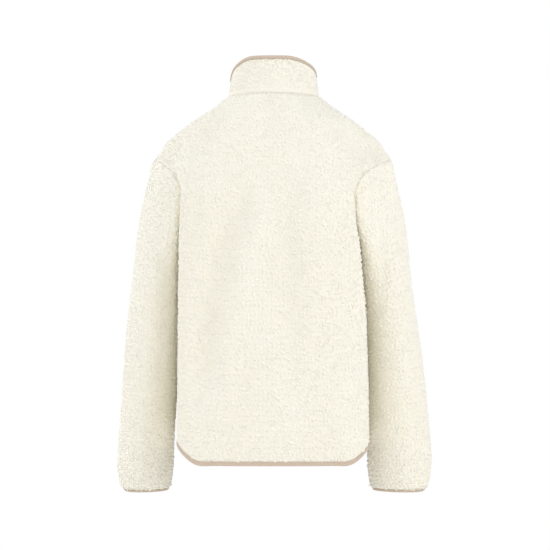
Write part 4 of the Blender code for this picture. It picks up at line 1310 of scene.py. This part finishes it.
# What repeats in each finish: its spacing in metres, or its count in a metre.
patternSet = {
    "wale": 0.0013,  # one column of knitted loops to the next
    "course": 0.0010,
    "rib": 0.0011,
    "ribSway": 0.4,
    "ribDetail": 300.0,
    "weave": 0.0012,
    "wear": 260.0,
    "wearFull": 0.55,
    "plies": 2500.0,
    "flow": 120.0,
    "marks": 900.0,
    "marksRough": (0.22, 0.42),
    "mottle": 2.0,
    "waveTurns": 3.1831,  # how often a wave texture repeats in a metre at scale 1
    # How strongly each relief shows, and how deep it is in metres.
    "knitRelief": (0.6, 0.0003),
    "ribRelief": (0.5, 0.0002),
    "weaveRelief": (0.5, 0.0002),
}


def waveScale(name):
    # The scale at which a wave texture repeats at one of the set's spacings.
    return 1 / patternSet[name] / patternSet["waveTurns"]


def colourBetween(tree, shader, share, low, high):
    # Gives a finish a colour between two of the set's.
    colours = {6: linear(finishSet[low]), 7: linear(finishSet[high])}
    mixed = addNode(tree, "ShaderNodeMix", {0: share}, colours, data_type="RGBA")
    tree.links.new(mixed.outputs[2], shader.inputs["Base Color"])


def giveRelief(tree, shader, height, name):
    strength, deep = patternSet[name]
    bump = addNode(tree, "ShaderNodeBump", {"Height": height}, {"Strength": strength, "Distance": deep})
    tree.links.new(bump.outputs[0], shader.inputs["Normal"])


pileRelief = {
    "short": 270.0,  # 3.7 mm from one short curl of the undergrowth to the next
    "shortHigh": 0.0006,
    "locks": 620.0,  # 1.6 mm from one fine lock of fibres to the next
    "twist": 2.2,
    "locksHigh": 0.0006,
    "fibres": 2600.0,  # 0.4 mm
    "fibresHigh": 0.00008,
}


def pileNormal(tree, place, under=None):
    # The relief that curls and ground share: twisted fine locks, with single fibres over them.
    locks = addNode(tree, "ShaderNodeTexNoise", {"Vector": place}, {
        "Scale": pileRelief["locks"],
        "Detail": 2.0,
        "Distortion": pileRelief["twist"],
    })
    lower = {"Normal": under} if under else {}
    coarse = addNode(tree, "ShaderNodeBump", {"Height": locks, **lower}, {
        "Strength": 1.0,
        "Distance": pileRelief["locksHigh"],
    })
    fibres = addNode(tree, "ShaderNodeTexNoise", {"Vector": place}, {
        "Scale": pileRelief["fibres"],
        "Detail": 1.0,
    })
    fine = addNode(tree, "ShaderNodeBump", {"Height": fibres, "Normal": coarse}, {
        "Strength": 1.0,
        "Distance": pileRelief["fibresHigh"],
    })
    return fine.outputs[0], locks.outputs["Fac"]


# The nap lies a little differently in bands that run down the cloth: 50 mm apart, and drawn out lengthways.
pileNap = {"bands": 20.0, "drawn": 0.2, "between": (0.35, 0.65), "curlShare": 0.35}


def pileFinish():
    # Polyester sherpa pile, spun into soft curls and left matt: pale tips, with a warmer, darker colour at the
    # roots that is painted shade.
    finish, tree, shader = startFinish("polyester sherpa pile", {
        "Roughness": 0.95,
        "Specular IOR Level": 0.15,
        "Sheen Weight": 0.15,
        "Sheen Roughness": 0.6,
    })
    high = addNode(tree, "ShaderNodeAttribute", attribute_name="tuftHigh")
    shade = addNode(tree, "ShaderNodeAttribute", attribute_name="tuftShade")
    place = addNode(tree, "ShaderNodeTexCoord").outputs["Object"]
    drawn = {1: (1.0, 1.0, pileNap["drawn"])}
    hung = addNode(tree, "ShaderNodeVectorMath", {0: place}, drawn, operation="MULTIPLY")
    bands = addNode(tree, "ShaderNodeTexNoise", {"Vector": hung}, {"Scale": pileNap["bands"], "Detail": 1.0})
    least, most = pileNap["between"]
    nap = addNode(tree, "ShaderNodeMapRange", {"Value": bands}, {"From Min": least, "From Max": most})
    curlShare = {1: pileNap["curlShare"]}
    warmth = addNode(tree, "ShaderNodeMath", {0: shade, 2: nap}, curlShare, operation="MULTIPLY_ADD")
    tips = addNode(tree, "ShaderNodeMix", {0: warmth},
                   {6: linear(finishSet["pileTip"]), 7: linear(finishSet["pileWarm"])}, data_type="RGBA")
    # Painted shade: each curl's colour darkens and warms from its tip down to its root.
    root = {6: linear(finishSet["pileRootShade"])}
    colour = addNode(tree, "ShaderNodeMix", {0: high, 7: tips.outputs[2]}, root, data_type="RGBA")
    normal, _ = pileNormal(tree, place)
    tree.links.new(colour.outputs[2], shader.inputs["Base Color"])
    tree.links.new(normal, shader.inputs["Normal"])
    return finish


def groundFinish():
    # The pile's dense short undergrowth, knitted and sheared: matt, and painted a little darker than the curls
    # as the shade in the hollows between them.
    finish, tree, shader = startFinish("sheared polyester pile ground", {
        "Roughness": 0.95,
        "Specular IOR Level": 0.1,
        "Sheen Weight": 0.15,
        "Sheen Roughness": 0.6,
    })
    place = addNode(tree, "ShaderNodeTexCoord").outputs["Object"]
    short = addNode(tree, "ShaderNodeTexNoise", {"Vector": place}, {
        "Scale": pileRelief["short"],
        "Detail": 1.0,
        "Distortion": pileRelief["twist"],
    })
    curls = addNode(tree, "ShaderNodeBump", {"Height": short}, {
        "Strength": 1.0,
        "Distance": pileRelief["shortHigh"],
    })
    normal, locks = pileNormal(tree, place, curls.outputs[0])
    # Painted shade: the ground's colour is darker than the curls', for the hollows between them.
    colourBetween(tree, shader, locks, "ground", "pileWarm")
    tree.links.new(normal, shader.inputs["Normal"])
    return finish


def backingFinish():
    # Knitted polyester jersey: columns of small loops, 1.3 mm apart, that look soft and even.
    finish, tree, shader = startFinish("knitted polyester backing", {
        "Roughness": 0.9,
        "Specular IOR Level": 0.2,
        "Sheen Weight": 0.2,
        "Sheen Roughness": 0.5,
    })
    place = addNode(tree, "ShaderNodeUVMap", uv_map="cloth")
    wales, courses = (
        addNode(tree, "ShaderNodeTexWave", {"Vector": place}, {"Scale": waveScale(name)}, bands_direction=way)
        for name, way in (("wale", "X"), ("course", "Y"))
    )
    knit = addNode(tree, "ShaderNodeMath", {0: wales, 1: courses}, operation="MULTIPLY")
    colourBetween(tree, shader, knit, "backingDark", "backing")
    giveRelief(tree, shader, knit, "knitRelief")
    return finish


def tapeFinish():
    # Knitted elastane fold-over tape: fine ribs across it and a soft satin sheen.
    finish, tree, shader = startFinish("knitted elastane binding", {
        "Roughness": 0.62,
        "Specular IOR Level": 0.35,
        "Sheen Weight": 0.25,
        "Sheen Roughness": 0.4,
    })
    place = addNode(tree, "ShaderNodeUVMap", uv_map="cloth")
    ribs = addNode(tree, "ShaderNodeTexWave", {"Vector": place}, {
        "Scale": waveScale("rib"),
        "Distortion": patternSet["ribSway"],
        "Detail Scale": patternSet["ribDetail"],
    }, bands_direction="X")
    worn = addNode(tree, "ShaderNodeTexNoise", {"Vector": place}, {"Scale": patternSet["wear"], "Detail": 3.0})
    mixed = addNode(tree, "ShaderNodeMath", {0: ribs, 1: worn}, operation="MULTIPLY")
    share = addNode(tree, "ShaderNodeMapRange", {"Value": mixed}, {"From Max": patternSet["wearFull"]})
    colourBetween(tree, shader, share, "tapeDark", "tape")
    giveRelief(tree, shader, ribs, "ribRelief")
    return finish


def mottledFinish(name, sockets, pattern, detail, low, high):
    # A finish whose colour wanders softly between two.
    finish, tree, shader = startFinish(name, sockets)
    place = addNode(tree, "ShaderNodeTexCoord").outputs["Object"]
    values = {"Scale": patternSet[pattern], "Detail": detail}
    spots = addNode(tree, "ShaderNodeTexNoise", {"Vector": place}, values)
    colourBetween(tree, shader, spots, low, high)
    return finish


def threadFinish():
    # Spun polyester sewing thread: two plies that catch a little light.
    sockets = {"Roughness": 0.55, "Sheen Weight": 0.2}
    return mottledFinish("spun polyester thread", sockets, "plies", 1.0, "tape", "thread")


def zipTapeFinish():
    # Woven polyester zip tape: a close herringbone with a slight sheen.
    finish, tree, shader = startFinish("woven polyester zip tape", {
        "Roughness": 0.7,
        "Specular IOR Level": 0.3,
        "Sheen Weight": 0.15,
    })
    place = addNode(tree, "ShaderNodeUVMap", uv_map="cloth")
    weave = addNode(tree, "ShaderNodeTexWave", {"Vector": place}, {"Scale": waveScale("weave")},
                    bands_direction="DIAGONAL")
    colourBetween(tree, shader, weave, "zipTapeDark", "zipTape")
    giveRelief(tree, shader, weave, "weaveRelief")
    return finish


def teethFinish():
    # Moulded acetal: a smooth, slightly waxy plastic with a soft gloss.
    sockets = {"Roughness": 0.38, "IOR": 1.48}
    return mottledFinish("moulded acetal", sockets, "flow", 2.0, "zipTape", "teeth")


def nickelFinish():
    # Die-cast zinc with tumbled nickel plate: a soft satin metal with small handling marks.
    finish, tree, shader = startFinish("satin nickel plate", {
        "Base Color": linear(finishSet["nickel"]),
        "Metallic": 1.0,
    })
    place = addNode(tree, "ShaderNodeTexCoord").outputs["Object"]
    values = {"Scale": patternSet["marks"], "Detail": 4.0}
    marks = addNode(tree, "ShaderNodeTexNoise", {"Vector": place}, values)
    least, most = patternSet["marksRough"]
    rough = addNode(tree, "ShaderNodeMapRange", {"Value": marks}, {"To Min": least, "To Max": most})
    tree.links.new(rough.outputs[0], shader.inputs["Roughness"])
    return finish


def floorFinish():
    # Matt painted studio floor, with the least mottling.
    return mottledFinish("matt painted floor", {"Roughness": 0.9}, "mottle", 3.0, "floorDark", "floor")


stageSet = {
    "cameraAway": 3.5,
    "cameraSide": -0.0017,
    "cameraHigh": -0.3026,
    "halfView": 0.4675,  # half of what the camera sees at the jacket
    "floorHigh": -1.40,
    "floorWide": 3.2,
    "daylight": (0.96, 0.985, 1.085),
    "surround": 0.485,
    "lampWide": 2.8,
    "lampAim": (0, 0, -0.3),
    "lamps": table("name place power", [
        ("soft key", (-2.6, 2.0, 1.2), 56.0),
        ("soft fill", (3.1, 0.8, 1.3), 46.0),
        ("broad front", (0.2, 4.2, 0.5), 46.0),
        ("front key", (2.6, -1.9, 1.6), 50.0),
        ("front fill", (-2.4, -2.4, 0.8), 34.0),
    ]),
}


def makeStage():
    camera = link("camera", bpy.data.cameras.new("camera"))
    camera.location = (stageSet["cameraSide"], stageSet["cameraAway"], stageSet["cameraHigh"])
    camera.rotation_euler = (math.pi / 2, 0, math.pi)
    camera.data.angle = 2 * math.atan(stageSet["halfView"] / stageSet["cameraAway"])
    scene.camera = camera

    for row in stageSet["lamps"]:
        light = bpy.data.lights.new(row["name"], "AREA")
        light.energy, light.size, light.color = row["power"], stageSet["lampWide"], stageSet["daylight"]
        lamp = link(row["name"], light)
        lamp.location = row["place"]
        aim = Vector(stageSet["lampAim"]) - lamp.location
        lamp.rotation_euler = aim.to_track_quat("-Z", "Y").to_euler()

    world = bpy.data.worlds.new("pale studio")
    scene.world = world
    world.use_nodes = True
    tree = world.node_tree
    around = tree.nodes["Background"]
    around.inputs["Color"].default_value = (*stageSet["daylight"], 1.0)
    around.inputs["Strength"].default_value = stageSet["surround"]
    seen = addNode(tree, "ShaderNodeBackground", values={"Color": (1, 1, 1, 1), "Strength": 1.0})
    rays = addNode(tree, "ShaderNodeLightPath")
    either = addNode(tree, "ShaderNodeMixShader", {0: rays.outputs["Is Camera Ray"], 1: around.outputs[0],
                                                   2: seen.outputs[0]})
    tree.links.new(either.outputs[0], tree.nodes["World Output"].inputs["Surface"])
    scene.view_settings.view_transform = "Standard"

    made = bmesh.new()
    bmesh.ops.create_circle(made, cap_ends=True, segments=96, radius=stageSet["floorWide"])
    bmesh.ops.translate(made, verts=made.verts, vec=(0, 0, stageSet["floorHigh"]))
    mesh = bpy.data.meshes.new("floor")
    made.to_mesh(mesh)
    made.free()
    mesh.materials.append(floorFinish())
    link("floor", mesh)


makeStage()
print("stage: camera, lights and floor are set")

panels = layPanels()
cage = makeCage(panels)
finePieces = finePanels(refine(cage), panels)
bpy.data.objects.remove(cage)
prepare(finePieces)
print("cloth:", {name: panel["at"].shape[:2] for name, panel in finePieces.items()})

pile, ground, backing = pileFinish(), groundFinish(), backingFinish()
pileTree = makePileTree()
# Each panel grows its pile, the back's in two halves, one piece for each.
grown = {}
for index, (name, panel) in enumerate(finePieces.items()):
    middle = panel["at"].shape[1] // 2
    halves = [("left", slice(None, middle + 1)), ("right", slice(middle, None))]
    parts = halves if name == "back" else [("", slice(None))]
    grown[name] = []
    for k, (half, columns) in enumerate(parts):
        base = pileBase(name, panel, columns)
        label = name + "_pile" + ("_" + half if half else "")
        piece = grow(label, base, pileTree, {
            "Spacing": pileSet["collarSpacing" if name == "collar" else "spacing"],
            "Size": pileSet["collarSize" if name == "collar" else "size"],
            "Seed": pileSet["firstSeed"] + index * 2 + k,
            "Finish": pile,
        })
        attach(piece, "jacket")
        grown[name].append(piece)
        print("pile:", label, len(piece.data.polygons))
for name, panel in finePieces.items():
    cloth = clothWall(name, panel, [ground, backing])
    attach(cloth, "jacket")
    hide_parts(name)

elastane, thread = tapeFinish(), threadFinish()
stitchTree = makeStitchTree()
for name, line in boundLines(finePieces).items():
    tape = cuffTape if name.startswith("cuff") else bindingTape
    piece, flatWide, long = foldedTape(name, line, tape, elastane)
    base = lineMesh(name + " stitch line", tapeStitchLines(line, tape))
    stitches = grow(name + "_stitches", base, stitchTree, {"Finish": thread})
    for part in (piece, stitches):
        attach(part, "jacket")
    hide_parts(name)
print("bindings: folded and sewn")

woven, acetal, nickel = zipTapeFinish(), teethFinish(), nickelFinish()
teeth = zipTeeth(finePieces, makeTeethTree(), acetal)
for piece in teeth:
    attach(piece, "jacket")
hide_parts("zip_chain")
for side, row in zip(("left", "right"), teeth):
    piece, wide, long = zipTape(finePieces, side, woven)
    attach(piece, "jacket")
    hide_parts("zip_tape_" + side)
for name, body in (("zip_slider", "jacket"), ("zip_pull", "zip_pull")):
    piece = bevelledCopy(name + "_plated", name, nickel)
    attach(piece, body)
    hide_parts(name)
print("zip: teeth, tapes, slider and pull are made")
